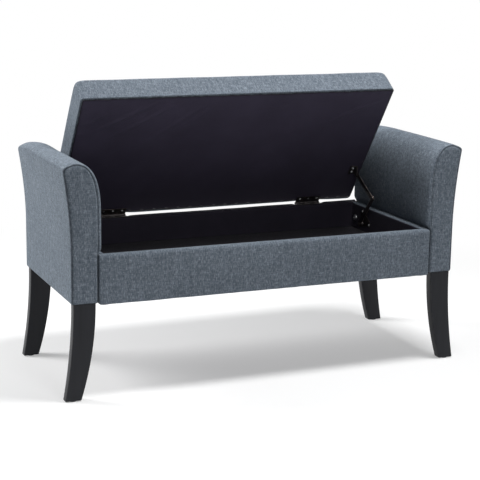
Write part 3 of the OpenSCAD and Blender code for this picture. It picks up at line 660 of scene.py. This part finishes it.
def padded_block(name, low, high, radius, pitch, open_top=False, lower_radius=None):
    """A block with rounded edges, in a grid of small quads."""
    def cuts(a, b):
        bend = [radius * math.tan(math.radians(t)) for t in (45, 30, 15, 0)]
        count = max(1, round((b - a - 2 * radius) / pitch))
        inner = np.linspace(a + radius, b - radius, count + 1)
        return np.concatenate([[a + radius - t for t in bend[:3]], inner,
                               [b - radius + t for t in bend[2::-1]]])

    def squared(out, radius, tight):
        """Moves a point of a wide round edge out to a tighter one."""
        flat = 1 - tight / radius
        turn = flat + tight / radius * math.sqrt(0.5)
        angle = math.degrees(math.atan2(-out[2], math.hypot(out[0], out[1])))
        reach = np.interp(angle, (0, 30, 45, 60, 90), (1, 1, turn, flat, 0)) * radius
        drop = np.interp(angle, (0, 30, 45, 60, 90), (0, flat, turn, 1, 1)) * radius
        side = out[:2] / max(math.hypot(out[0], out[1]), 1e-9)
        return np.array([side[0] * reach, side[1] * reach, -drop])

    axes = [cuts(low[k], high[k]) for k in range(3)]
    core_low = np.array([low[k] + radius for k in range(3)])
    core_high = np.array([high[k] - radius for k in range(3)])
    points, faces, corners = [], [], []
    for axis in range(3):
        u, v = [k for k in range(3) if k != axis]
        for limit in (low[axis], high[axis]):
            if open_top and axis == 2 and limit == high[2]:
                continue
            first = len(points)
            for a in axes[u]:
                for b in axes[v]:
                    spot = np.empty(3)
                    spot[[axis, u, v]] = limit, a, b
                    core = np.clip(spot, core_low, core_high)
                    if open_top and spot[2] > core_high[2]:
                        core[2] = spot[2]
                    out = spot - core
                    out *= radius / max(np.linalg.norm(out), 1e-9)
                    if lower_radius and out[2] < 0:
                        out = squared(out, radius, lower_radius)
                    points.append(core + out)
            faces += quads(first + np.arange(len(axes[u]) * len(axes[v])).reshape(len(axes[u]), -1))
    for face in faces:
        spots = [points[k] for k in face]
        normal = np.abs(np.cross(spots[1] - spots[0], spots[2] - spots[0]))
        keep = [k for k in range(3) if k != int(np.argmax(normal))]
        corners += [(p[keep[0]], p[keep[1]]) for p in spots]
    return skin(name, points, faces, corners)


low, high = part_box("box_lining")
lining_gap, lining_looseness = 0.001, 0.0018
inner_low = [low.x + lining_gap, low.y + lining_gap, low.z + lining_gap]
inner_high = [high.x - lining_gap, high.y - lining_gap, high.z]
lining = padded_block("storage_lining", inner_low, inner_high, 0.005, 0.011, open_top=True)
place = points_of(lining)
at_stays = np.abs(np.abs(place[:, 0]) - inner_high[0]) < 0.004
sag = np.array([noise.noise(Vector((p[0], p[1], p[2] * 0.35)) / 0.10) for p in place])
inward = np.array([v.normal for v in lining.data.vertices])
middle = (np.array(inner_low) + np.array(inner_high)) / 2
inward *= np.sign(((middle - place) * inward).sum(1))[:, None]
loose = np.where(at_stays, 0.1, 1.0) * lining_looseness * (0.5 + 0.5 * sag)
move_points(lining, place + inward * loose[:, None])
on_floor = (place[:, 2] < inner_low[2] + 0.003).astype(np.float32)  # painted shade: the floor of the lining is darker than its walls
lining.data.attributes.new("seam", "FLOAT", "POINT").data.foreach_set("value", on_floor)
thickness = lining.modifiers.new("thickness", "SOLIDIFY")
thickness.thickness = 0.0008
dress(lining, black_felt, "base", "black_cloth", "box_lining")

# The felt goes on up the back rail's inner side and over most of its top.
back_wrap = rails["back"].data
back_wrap.materials.append(black_felt)
lining_end_y = 0.226
for face in back_wrap.polygons:
    on_top = face.normal.z > 0.6 and face.center.y < lining_end_y
    face.material_index = int(on_top or face.normal.y < -0.6)

# ---------------------------------------------------------------------------
# Dust cover under the box. A sheet of thin black felt is cut to size, pulled tight
# over the box's underside, and stapled to the boards along all four edges.
crease_width, pucker_reach, edge_shade_width = 0.0048, 0.022, 0.0035
cut_stray, cut_reach = 0.0016, 0.012


def creased(x, y, fold):
    """How deep a crease is at a point: it runs through its middle at an angle, and fades out
    along its reach."""
    middle_x, middle_y, angle, reach, depth = fold
    off_x, off_y = x - middle_x, y - middle_y
    aside = (off_x * math.sin(angle) - off_y * math.cos(angle)) / crease_width
    on = (off_x * math.cos(angle) + off_y * math.sin(angle)) / reach
    return depth * math.exp(-aside ** 2 - on ** 2)


def felt_sheet(name, low, high, staples, edge_depth, folds=(), pitch=0.006):
    """A sheet of felt stapled under something, puckered between the staples and creased."""
    xs = np.linspace(low.x, high.x, round((high.x - low.x) / pitch) + 1)
    ys = np.linspace(low.y, high.y, round((high.y - low.y) / pitch) + 1)
    points, edge_shade = [], []
    for x in xs:
        for y in ys:
            edge_x, edge_y = min(x - low.x, high.x - x), min(y - low.y, high.y - y)
            pull = (math.exp(-edge_y / pucker_reach) * math.sin(math.pi * x / staples) ** 2
                    + math.exp(-edge_x / pucker_reach) * math.sin(math.pi * y / staples) ** 2)
            slack = 0.5 + 0.5 * noise.noise(Vector((x, y, 0.3)) / 0.05)
            billow = 0.5 * (noise.noise(Vector((x, y, 1.7)) / 0.12) + 0.4)
            drop = edge_depth(y) * (pull * slack + billow + sum(creased(x, y, fold) for fold in folds))
            cut_x, cut_y = (
                cut_stray * math.exp(-near / cut_reach) * noise.noise(Vector((x, y, layer)) / 0.016)
                for near, layer in ((edge_x, 2.1), (edge_y, 4.3)))
            points.append((x + cut_x, y + cut_y, low.z - drop))
            # Painted shade: how near the sheet's edge the point lies, for its material to darken it.
            edge_shade.append(math.exp(-(min(edge_x, edge_y) / edge_shade_width) ** 2))
    faces = quads(np.arange(len(points)).reshape(len(xs), -1))
    corners = [points[k][:2] for face in faces for k in face]
    piece = skin(name, points, faces, corners, edge_shade)
    thickness = piece.modifiers.new("thickness", "SOLIDIFY")
    thickness.thickness = 0.0006
    thickness.offset = 0.0
    return piece


low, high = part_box("box_dust_cover")
box_staple_pitch = 0.045
under_box = felt_sheet("box_dust_cover_felt", low, high, box_staple_pitch, lambda y: 0.0012)
dress(under_box, dust_felt, "base", "black_cloth", "box_dust_cover")

# ---------------------------------------------------------------------------
# Lid. A board carries a thick pad of foam, and the cloth is pulled over both
# and stapled underneath. It is made flat here, then swung open on its hinges.
hinge_low, hinge_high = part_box("hinge_pins")
pin = (hinge_low + hinge_high) / 2
lid_open = math.radians(55)
swing_open = Matrix.Translation(pin) @ Matrix.Rotation(-lid_open, 4, "X") @ Matrix.Translation(-pin)
lid_low, lid_high = Vector((-0.474, -0.222, 0.394)), Vector((0.474, 0.2300, 0.474))
lid_edge_r, lid_swell = 0.012, 0.009
lid_pad = padded_block("lid_pad", lid_low, lid_high, lid_edge_r, 0.008, lower_radius=0.0016)
place = points_of(lid_pad)
under = place[:, 2] < lid_low.z + 0.008
from_edge = np.minimum(lid_high.x - np.abs(place[:, 0]),
                       np.minimum(place[:, 1] - lid_low.y, lid_high.y - place[:, 1]))
on_top = rising(from_edge, 0.006, 0.060)
fill_out(lid_pad, under, lid_swell, share=np.where(place[:, 2] > lid_high.z - 0.004, on_top, 0.0))
ripple(lid_pad, 0.0009, 0.10, np.where(under, 0.0, 1.0))
corner_reach, corner_pull = 0.028, 0.006      # the cloth pulls the foam's top corners in
for x in (lid_low.x, lid_high.x):
    for y in (lid_low.y, lid_high.y):
        place = points_of(lid_pad)
        tip = np.array((x, y, lid_high.z))
        near = np.clip(1 - np.linalg.norm(place - tip, axis=1) / corner_reach, 0, 1) ** 1.5
        inwards = np.array((-math.copysign(0.6, x), -math.copysign(0.5, y), -0.6))
        move_points(lid_pad, place + np.outer(near, inwards * corner_pull))

# The cloth is folded under at the rear corners, and hangs a little between the hinges.
place = points_of(lid_pad)
corner = np.column_stack([np.abs(place[:, 0]) - (lid_high.x - lid_edge_r),
                          place[:, 1] - (lid_high.y - lid_edge_r)])
in_corner = (corner > 0).all(1)
turned = np.arctan2(corner[:, 1], corner[:, 0])
fold = np.where(in_corner, np.maximum(np.abs(np.cos(turned)), np.abs(np.sin(turned))) ** -0.7 - 1, 0.0)
low_share = np.clip((lid_low.z + 0.024 - place[:, 2]) / 0.020, 0, 1)
fold = fold * low_share
out_x = np.where(in_corner, corner[:, 0] * fold, 0) * np.sign(place[:, 0])
out_y = np.where(in_corner, corner[:, 1] * fold, 0)
across = place[:, 0] / lid_high.x
hinge_hold, hang, hang_less, corner_hang = 0.055, 0.0026, 0.0022, 0.0032
free = np.prod([1 - np.exp(-((place[:, 0] - x) / hinge_hold) ** 4) for x in hinge_x], axis=0)
loose = free * (hang - hang_less * across + corner_hang * rising(across, 0.72, 0.2))
rear = rising(place[:, 1], lid_high.y - 0.006, 0.006) * low_share
move_points(lid_pad, place + np.column_stack([out_x, out_y + loose * rear, -0.0004 * rear * free]))
lid_pad.data.transform(swing_open)
dress(lid_pad, linen_cloth, "lid", "cloth", "lid_cover", "lid_foam", smooth_level=1)

felt_margin, lid_staple_pitch = 0.0045, 0.038
lid_felt_low = Vector((lid_low.x + felt_margin, lid_low.y + felt_margin, 0.3930))
lid_felt_high = Vector((lid_high.x - felt_margin, lid_high.y - felt_margin, 0.3938))
drawn = ((-0.335, -0.150, 2.60, 0.075, 1.9), (-0.290, -0.128, 2.56, 0.085, 1.6),
         (-0.400, -0.158, 2.62, 0.045, 1.4), (-0.185, -0.118, 2.42, 0.080, 1.3),
         (-0.120, -0.140, 2.36, 0.050, 0.8), (0.385, -0.152, 2.66, 0.055, 1.5),
         (0.330, -0.120, 2.58, 0.045, 0.9), (0.100, -0.165, 2.90, 0.060, 0.6))
under_lid = felt_sheet("lid_dust_cover_felt", lid_felt_low, lid_felt_high, lid_staple_pitch,
                       lambda y: 0.0022 * min(1.0, max(0.1, (0.20 - y) / 0.08)), drawn, 0.004)
under_lid.data.transform(swing_open)
dress(under_lid, dust_felt, "lid", "black_cloth", "lid_dust_cover")
low, high = lid_felt_low, lid_felt_high

# ---------------------------------------------------------------------------
# Legs. Four sabre legs of solid wood, their feet curving outwards, stained
# black under a satin lacquer that has rubbed a little on the corners.
wood_grain, given = effect_group("wood_grain", ("Tone", "Pores"), Vector=None, Scale=1.0)
tree = wood_grain
stretched = wire(tree, "ShaderNodeVectorMath", {0: given["Vector"], 1: (60.0, 60.0, 4.0)},
                 operation="MULTIPLY")
sized = scaled(tree, stretched, given["Scale"])
wire(tree, "NodeGroupOutput", {"Tone": noise_at(tree, sized, 1.0, 5.0, 0.6),
                               "Pores": noise_at(tree, sized, 7.0, 3.0, 0.7)})

edge_wear, given = effect_group("edge_wear", ("Mask",), Vector=None, Edge=0.0, Amount=0.5)
tree = edge_wear
patches = ranged(tree, noise_at(tree, given["Vector"], 60.0, 4.0, 0.65), 0.45, 0.65)
rubbed = calc(tree, "MULTIPLY", given["Edge"], patches)
wire(tree, "NodeGroupOutput", {"Mask": calc(tree, "MULTIPLY", rubbed, given["Amount"])})


def rubbed_bare(tree, amount, finish, bare):
    """The finish's colour, gone to the bare one in patches along the worn edges."""
    wear = use_group(tree, edge_wear, Vector=object_place(tree), Edge=attribute(tree, "edge"), Amount=amount)
    mixed = wire(tree, "ShaderNodeMix", {0: wear["Mask"], 6: finish, 7: (*bare, 1.0)}, data_type="RGBA")
    return mixed.outputs[2]


black_lacquer, tree = empty_material("black_lacquer")
grain = use_group(tree, wood_grain, Vector=object_place(tree), Scale=1.0)
stain = ramp(tree, grain["Tone"], (0.3, (0.0042, 0.0050, 0.0078)), (0.75, (0.0095, 0.0106, 0.0150)))
surface(tree, Base_Color=rubbed_bare(tree, 0.35, stain, (0.060, 0.056, 0.055)), Specular_IOR_Level=0.27,
        Roughness=ranged(tree, grain["Pores"], to_low=0.34, to_high=0.46),
        Normal=bumped(tree, grain["Pores"], 0.0003, 0.25))

leg_outer_x, leg_splay, leg_top_w, leg_foot_w = 0.559, 0.024, 0.060, 0.0435
leg_edge_r = 0.0025
for side, hand in ((-1, "left"), (1, "right")):
    for word in ("front", "back"):
        low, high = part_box(f"{word}_{hand}_leg")
        rings = []
        for t in np.linspace(0.0, 1.0, 34):
            bow = (1 - t) ** 2
            outer_x = leg_outer_x + leg_splay * bow
            inner_x = leg_outer_x - leg_top_w + (leg_splay + leg_top_w - leg_foot_w) * bow
            z = low.z + (high.z - low.z) * t
            rings.append([(side * x, y, z) for x, y in box_ring(
                (inner_x, low.y), (outer_x, high.y), (leg_edge_r,) * 4, 0.5)])
        leg = loft(f"{word}_{hand}_leg_lacquered", rings, upright=False)
        edge = leg.data.attributes.new("edge", "FLOAT", "FACE")
        for face in leg.data.polygons:
            edge.data[face.index].value = float(abs(face.normal.x) > 0.05 and abs(face.normal.y) > 0.3)
        leg.data.shade_smooth()
        leg.data.set_sharp_from_angle(angle=math.radians(40))
        dress(leg, black_lacquer, "base", "black_wood", f"{word}_{hand}_leg")

# ---------------------------------------------------------------------------
# Glides. A low black nylon glide is nailed into the foot of each leg, so that
# the bench slides on a hard floor. Each is a little scuffed.
glide_nylon, tree = empty_material("glide_nylon")
scuffs = noise_at(tree, object_place(tree), 240.0, 4.0, 0.7)
surface(tree, Base_Color=ramp(tree, scuffs, (0.4, (0.012, 0.012, 0.012)), (0.75, (0.040, 0.040, 0.041))),
        Roughness=ranged(tree, scuffs, to_low=0.4, to_high=0.65), Normal=bumped(tree, scuffs, 0.0002, 0.3))


def finish_node(name, bevel, material, body, slot, lighter_sides=False):
    """A merged copy of a CAD node with its sharp edges broken, which stands for it. With the
    last flag set, the narrow sides of a flat bar also get the lighter brown colour in patches."""
    shell = bmesh.new()
    shell.from_mesh(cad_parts[name].data)
    bmesh.ops.remove_doubles(shell, verts=shell.verts, dist=1e-5)
    bmesh.ops.dissolve_limit(shell, angle_limit=math.radians(0.5), verts=shell.verts, edges=shell.edges)
    edge = shell.faces.layers.float.new("edge")
    sharp = [e for e in shell.edges if e.is_manifold and e.calc_face_angle() > math.radians(40)]
    made = bmesh.ops.bevel(shell, geom=sharp, offset=bevel, segments=2, profile=0.5,
                           affect="EDGES", clamp_overlap=True)
    for face in made["faces"]:
        face[edge] = 1.0
    shell.normal_update()
    for face in shell.faces:
        # The narrow sides of a link are made lighter in patches too.
        if lighter_sides and abs(face.normal.x) < 0.5:
            face[edge] = 0.8
    bmesh.ops.triangulate(shell, faces=[f for f in shell.faces if len(f.verts) > 4])
    mesh = bpy.data.meshes.new(f"{name}_finished")
    shell.to_mesh(mesh)
    shell.free()
    dress(linked(f"{name}_finished", mesh), material, body, slot, name)
    mesh.set_sharp_from_angle(angle=math.radians(35))


finish_node("leg_glides", 0.0006, glide_nylon, "base", "glide_plastic")

# ---------------------------------------------------------------------------
# Hinges and stays. Two steel butt hinges carry the lid, and a folding stay at
# each end holds it open. All are blackened, and bare where the edges rub.
black_steel, tree = empty_material("black_steel")
haze = noise_at(tree, object_place(tree), 90.0, 4.0, 0.6)
blacking = ramp(tree, haze, (0.35, (0.026, 0.023, 0.024)), (0.7, (0.058, 0.050, 0.050)))
surface(tree, Base_Color=rubbed_bare(tree, 0.8, blacking, (0.42, 0.34, 0.30)), Metallic=0.6,
        Roughness=ranged(tree, haze, to_low=0.28, to_high=0.44), Normal=bumped(tree, haze, 0.0001, 0.15))

zinc_plate, tree = empty_material("zinc_plate")
spangle = noise_at(tree, object_place(tree), 420.0, 3.0, 0.6)
surface(tree, Base_Color=ramp(tree, spangle, (0.3, (0.42, 0.43, 0.44)), (0.7, (0.66, 0.67, 0.68))),
        Metallic=1.0, Roughness=ranged(tree, spangle, to_low=0.22, to_high=0.38))

for body, names in (
        ("base", ("hinge_left_box_leaf", "hinge_right_box_leaf", "hinge_pins", "stay_left_box_bracket",
                  "stay_right_box_bracket", "stay_box_rivets")),
        ("lid", ("hinge_left_lid_leaf", "hinge_right_lid_leaf", "stay_left_lid_bracket",
                 "stay_right_lid_bracket", "stay_lid_rivets")),
        ("stay_left_lower", ("stay_left_lower_link", "stay_left_elbow_rivet")),
        ("stay_right_lower", ("stay_right_lower_link", "stay_right_elbow_rivet")),
        ("stay_left_upper", ("stay_left_upper_link",)),
        ("stay_right_upper", ("stay_right_upper_link",))):
    for name in names:
        finish_node(name, 0.0003, black_steel, body, "black_steel", lighter_sides=name.endswith("link"))
finish_node("leg_bolts", 0.0002, zinc_plate, "base", "zinc")

# ---------------------------------------------------------------------------
# Screws and bolts. Zinc-plated pan-head screws with a cross drive hold the
# hinges and the stays, and socket-head bolts hold the arms to the box.


def maker_tree(name, *inputs):
    """A geometry tree that turns points or a line into pieces of the given sizes and finish."""
    tree = bpy.data.node_groups.new(name, "GeometryNodeTree")
    for label, kind in (("Geometry", "Geometry"), *inputs, ("Finish", "Material")):
        tree.interface.new_socket(name=label, in_out="INPUT", socket_type=f"NodeSocket{kind}")
    tree.interface.new_socket(name="Geometry", in_out="OUTPUT", socket_type="NodeSocketGeometry")
    return tree, wire(tree, "NodeGroupInput").outputs


def strewn(tree, points, piece, facing, least, most, seed, space):
    """Ends the tree with a piece at each point, turned from its facing by a chance angle about
    the Z axis of that space."""
    chance = wire(tree, "FunctionNodeRandomValue", {
        "Min": least, "Max": most, "Seed": seed}, data_type="FLOAT")
    turn = wire(tree, "FunctionNodeAxisAngleToRotation", {
        "Axis": (0.0, 0.0, 1.0), "Angle": chance.outputs[1]})
    turned = wire(tree, "FunctionNodeRotateRotation", {
        "Rotation": facing, "Rotate By": turn}, rotation_space=space)
    placed = wire(tree, "GeometryNodeInstanceOnPoints", {
        "Points": points, "Instance": piece, "Rotation": turned})
    made = wire(tree, "GeometryNodeRealizeInstances", {"Geometry": placed})
    finish = wire(tree, "NodeGroupInput").outputs["Finish"]
    finished = wire(tree, "GeometryNodeSetMaterial", {"Geometry": made, "Material": finish})
    wire(tree, "NodeGroupOutput", {"Geometry": finished})


def joined(tree, *parts):
    both = tree.nodes.new("GeometryNodeJoinGeometry")
    for part in parts:
        tree.links.new(part.outputs[0], both.inputs[0])
    return both


screw_tree, given = maker_tree(
    "screws", ("Head Radius", "Float"), ("Head Height", "Float"), ("Shaft Radius", "Float"),
    ("Shaft Length", "Float"), ("Drive Width", "Float"), ("Drive Reach", "Float"),
    ("Drive Depth", "Float"), ("Hex Drive", "Bool"))
tree = screw_tree
disc = wire(tree, "GeometryNodeMeshGrid", {"Vertices X": 33, "Vertices Y": 15}).outputs["Mesh"]
spot = wire(tree, "ShaderNodeSeparateXYZ", {0: wire(tree, "GeometryNodeInputPosition")})
turn = calc(tree, "MULTIPLY", calc(tree, "ADD", spot.outputs["X"], 0.5), 2 * math.pi)
share = calc(tree, "SINE", calc(tree, "MULTIPLY", calc(tree, "ADD", spot.outputs["Y"], 0.5), math.pi / 2))
radius = calc(tree, "MULTIPLY", share, given["Head Radius"])
x = calc(tree, "MULTIPLY", radius, calc(tree, "COSINE", turn))
y = calc(tree, "MULTIPLY", radius, calc(tree, "SINE", turn))
left_over = calc(tree, "MAXIMUM", calc(tree, "SUBTRACT", 1.0, calc(tree, "POWER", share, 3.0)), 0.0)
dome = calc(tree, "MULTIPLY", calc(tree, "POWER", left_over, 0.4), given["Head Height"])
off_x, off_y = calc(tree, "ABSOLUTE", x), calc(tree, "ABSOLUTE", y)


def inside(tree, value, limit):
    """1 where the value is well under the limit, 0 where it is over it."""
    return wire(tree, "ShaderNodeMapRange", {
        "Value": value, "From Min": limit, "From Max": calc(tree, "MULTIPLY", limit, 0.7)},
        interpolation_type="SMOOTHSTEP").outputs[0]


cross = calc(tree, "MULTIPLY",
             inside(tree, calc(tree, "MINIMUM", off_x, off_y), given["Drive Width"]),
             inside(tree, calc(tree, "MAXIMUM", off_x, off_y), given["Drive Reach"]))
flat_distance = calc(tree, "MAXIMUM", off_x, calc(
    tree, "MULTIPLY_ADD", off_y, math.sqrt(0.75), calc(tree, "MULTIPLY", off_x, 0.5)))
socket = inside(tree, flat_distance, given["Drive Reach"])
drive = wire(tree, "GeometryNodeSwitch", {
    "Switch": given["Hex Drive"], "False": cross, "True": socket}, input_type="FLOAT")
z = calc(tree, "SUBTRACT", dome, calc(tree, "MULTIPLY", drive, given["Drive Depth"]))
head = wire(tree, "GeometryNodeSetPosition", {"Geometry": disc, "Position": join_xyz(tree, x, y, z)})
base = wire(tree, "GeometryNodeMeshCircle", {"Vertices": 32, "Radius": given["Head Radius"]},
            fill_type="NGON")
merged = wire(tree, "GeometryNodeMergeByDistance", {"Geometry": joined(tree, base, head), "Distance": 1e-5})
outward = wire(tree, "GeometryNodeFlipFaces", {"Mesh": merged})
shaft = wire(tree, "GeometryNodeMeshCylinder", {
    "Vertices": 12, "Radius": given["Shaft Radius"], "Depth": given["Shaft Length"]}).outputs["Mesh"]
sunk = wire(tree, "GeometryNodeTransform", {"Geometry": shaft, "Translation": join_xyz(
    tree, 0.0, 0.0, calc(tree, "MULTIPLY", given["Shaft Length"], -0.5))})
out = wire(tree, "GeometryNodeInputNamedAttribute", {"Name": "out"}, data_type="FLOAT_VECTOR")
faced = wire(tree, "FunctionNodeAlignRotationToVector", {"Vector": out}, axis="Z")
strewn(tree, given["Geometry"], joined(tree, sunk, outward), faced, 0.0, math.pi, 7, "LOCAL")


def grown(name, mesh, group, **inputs):
    """Runs a geometry tree on a mesh; input names have _ for a space."""
    maker = linked(f"{name}_maker", mesh)
    growth = maker.modifiers.new("growth", "NODES")
    growth.node_group = group
    sockets = {item.name: item.identifier for item in group.interface.items_tree
               if item.item_type == "SOCKET" and item.in_out == "INPUT"}
    for key, value in inputs.items():
        growth[sockets[key.replace("_", " ")]] = value
    seen = maker.evaluated_get(bpy.context.evaluated_depsgraph_get())
    result = bpy.data.meshes.new_from_object(seen)
    bpy.data.objects.remove(maker)
    result.name = name
    return linked(name, result)


def loose_parts(name):
    """The points of each separate solid of a CAD node, always in the same order."""
    shell = bmesh.new()
    shell.from_mesh(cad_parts[name].data)
    bmesh.ops.remove_doubles(shell, verts=shell.verts, dist=1e-5)
    parts, taken = [], set()
    for first in shell.verts:
        front, part = [first], []
        while front:
            vert = front.pop()
            if vert not in taken:
                taken.add(vert)
                part.append(vert.co.copy())
                front += [edge.other_vert(vert) for edge in vert.link_edges]
        if part:
            parts.append(sorted(part, key=tuple))
    shell.free()
    return sorted(parts, key=lambda part: [round(c, 4) for c in part[0]])


lid_down = swing_open.to_3x3() @ Vector((0.0, 0.0, -1.0))
for name, body, facing, head_h, hexagon in (
        ("hinge_box_screws", "base", Vector((0.0, 0.0, 1.0)), 0.0012, False),
        ("stay_box_screws", "base", None, 0.0016, False),
        ("hinge_lid_screws", "lid", lid_down, 0.0012, False),
        ("stay_lid_screws", "lid", lid_down, 0.0016, False),
        ("arm_bolts", "base", None, 0.0045, True)):
    seats, outs, head_r, length = [], [], 0.0, 0.0
    for part in loose_parts(name):
        centre = sum(part, Vector()) / len(part)
        out = facing or Vector((-math.copysign(1.0, centre.x), 0.0, 0.0))
        depth = [p.dot(out) for p in part]
        axis_point = Vector([(max(p[k] for p in part) + min(p[k] for p in part)) / 2 for k in range(3)])
        length = max(depth) - min(depth)
        seats.append(axis_point + out * (max(depth) - head_h - axis_point.dot(out)))
        outs.append(out)
        head_r = max((p - axis_point - out * (p - axis_point).dot(out)).length for p in part)
    mesh = bpy.data.meshes.new(f"{name}_seats")
    mesh.from_pydata([tuple(p) for p in seats], [], [])
    mesh.attributes.new("out", "FLOAT_VECTOR", "POINT").data.foreach_set(
        "vector", [c for out in outs for c in out])
    screws = grown(f"{name}_plated", mesh, screw_tree, Head_Radius=head_r, Head_Height=head_h,
                   Shaft_Radius=head_r * 0.5, Shaft_Length=length - head_h,
                   Drive_Width=head_r * 0.16, Drive_Reach=head_r * 0.55,
                   Drive_Depth=head_h * 0.55, Hex_Drive=hexagon, Finish=zinc_plate)
    dress(screws, zinc_plate, body, "zinc", name)
    screws.data.set_sharp_from_angle(angle=math.radians(50))

# ---------------------------------------------------------------------------
# Staples. Fine galvanised staples hold the felt's edges, one every few
# centimetres, and none of them lies quite straight.
staple_tree, given = maker_tree("staples", ("Spacing", "Float"), ("Crown Width", "Float"),
                                ("Wire Radius", "Float"), ("Stray", "Float"))
tree = staple_tree
line = wire(tree, "GeometryNodeMeshToCurve", {"Mesh": given["Geometry"]})
row = wire(tree, "GeometryNodeCurveToPoints", {"Curve": line, "Length": given["Spacing"]}, mode="LENGTH")
half = calc(tree, "MULTIPLY", given["Crown Width"], 0.5)
crown_line = wire(tree, "GeometryNodeCurvePrimitiveLine", {
    "Start": join_xyz(tree, calc(tree, "MULTIPLY", half, -1.0), 0.0), "End": join_xyz(tree, half, 0.0)})
wire_ring = wire(tree, "GeometryNodeCurvePrimitiveCircle", {
    "Resolution": 8, "Radius": given["Wire Radius"]}).outputs["Curve"]
crown_wire = wire(tree, "GeometryNodeCurveToMesh", {
    "Curve": crown_line, "Profile Curve": wire_ring, "Fill Caps": True})
lie = wire(tree, "FunctionNodeAlignRotationToVector", {"Vector": row.outputs["Tangent"]}, axis="X")
strewn(tree, row.outputs["Points"], crown_wire, lie, calc(tree, "MULTIPLY", given["Stray"], -1.0),
       given["Stray"], 3, "GLOBAL")

under_felt, lid_staple_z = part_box("box_dust_cover"), 0.39285
for name, body, (low, high), z, inset, spacing in (
        ("lid_staples", "lid", (lid_felt_low, lid_felt_high), lid_staple_z, 0.005, lid_staple_pitch),
        ("box_staples", "base", under_felt, under_felt[0].z - 0.0004, 0.006, box_staple_pitch)):
    loop = bpy.data.meshes.new(f"{name}_line")
    loop.from_pydata([(low.x + inset, low.y + inset, z), (high.x - inset, low.y + inset, z),
                      (high.x - inset, high.y - inset, z), (low.x + inset, high.y - inset, z)],
                     [(0, 1), (1, 2), (2, 3), (3, 0)], [])
    staples = grown(name, loop, staple_tree, Spacing=spacing, Crown_Width=0.0095,
                    Wire_Radius=0.0004, Stray=0.22, Finish=zinc_plate)
    if body == "lid":
        staples.data.transform(swing_open)
    dress(staples, zinc_plate, body, "zinc")

# ---------------------------------------------------------------------------
# Timber. The frame inside the upholstery is of sawn softwood, with plywood for
# the storage floor and the lid's board. It is glued, stapled and left raw.
sawn_timber, tree = empty_material("sawn_timber")
timber_turn = wire(tree, "ShaderNodeMapping", {
    "Vector": object_place(tree), "Rotation": (0.0, math.pi / 2, 0.0)})
timber_grain = use_group(tree, wood_grain, Vector=timber_turn, Scale=0.6)
timber_colour = ramp(tree, timber_grain["Tone"], (0.25, (0.40, 0.25, 0.13)), (0.75, (0.66, 0.47, 0.28)))
surface(tree, Base_Color=timber_colour, Normal=bumped(tree, timber_grain["Pores"], 0.0004, 0.4),
        Roughness=ranged(tree, timber_grain["Pores"], to_low=0.6, to_high=0.8))
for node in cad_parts.values():
    if not node.hide_render:
        node.data.materials.clear()
        node.data.materials.append(sawn_timber)
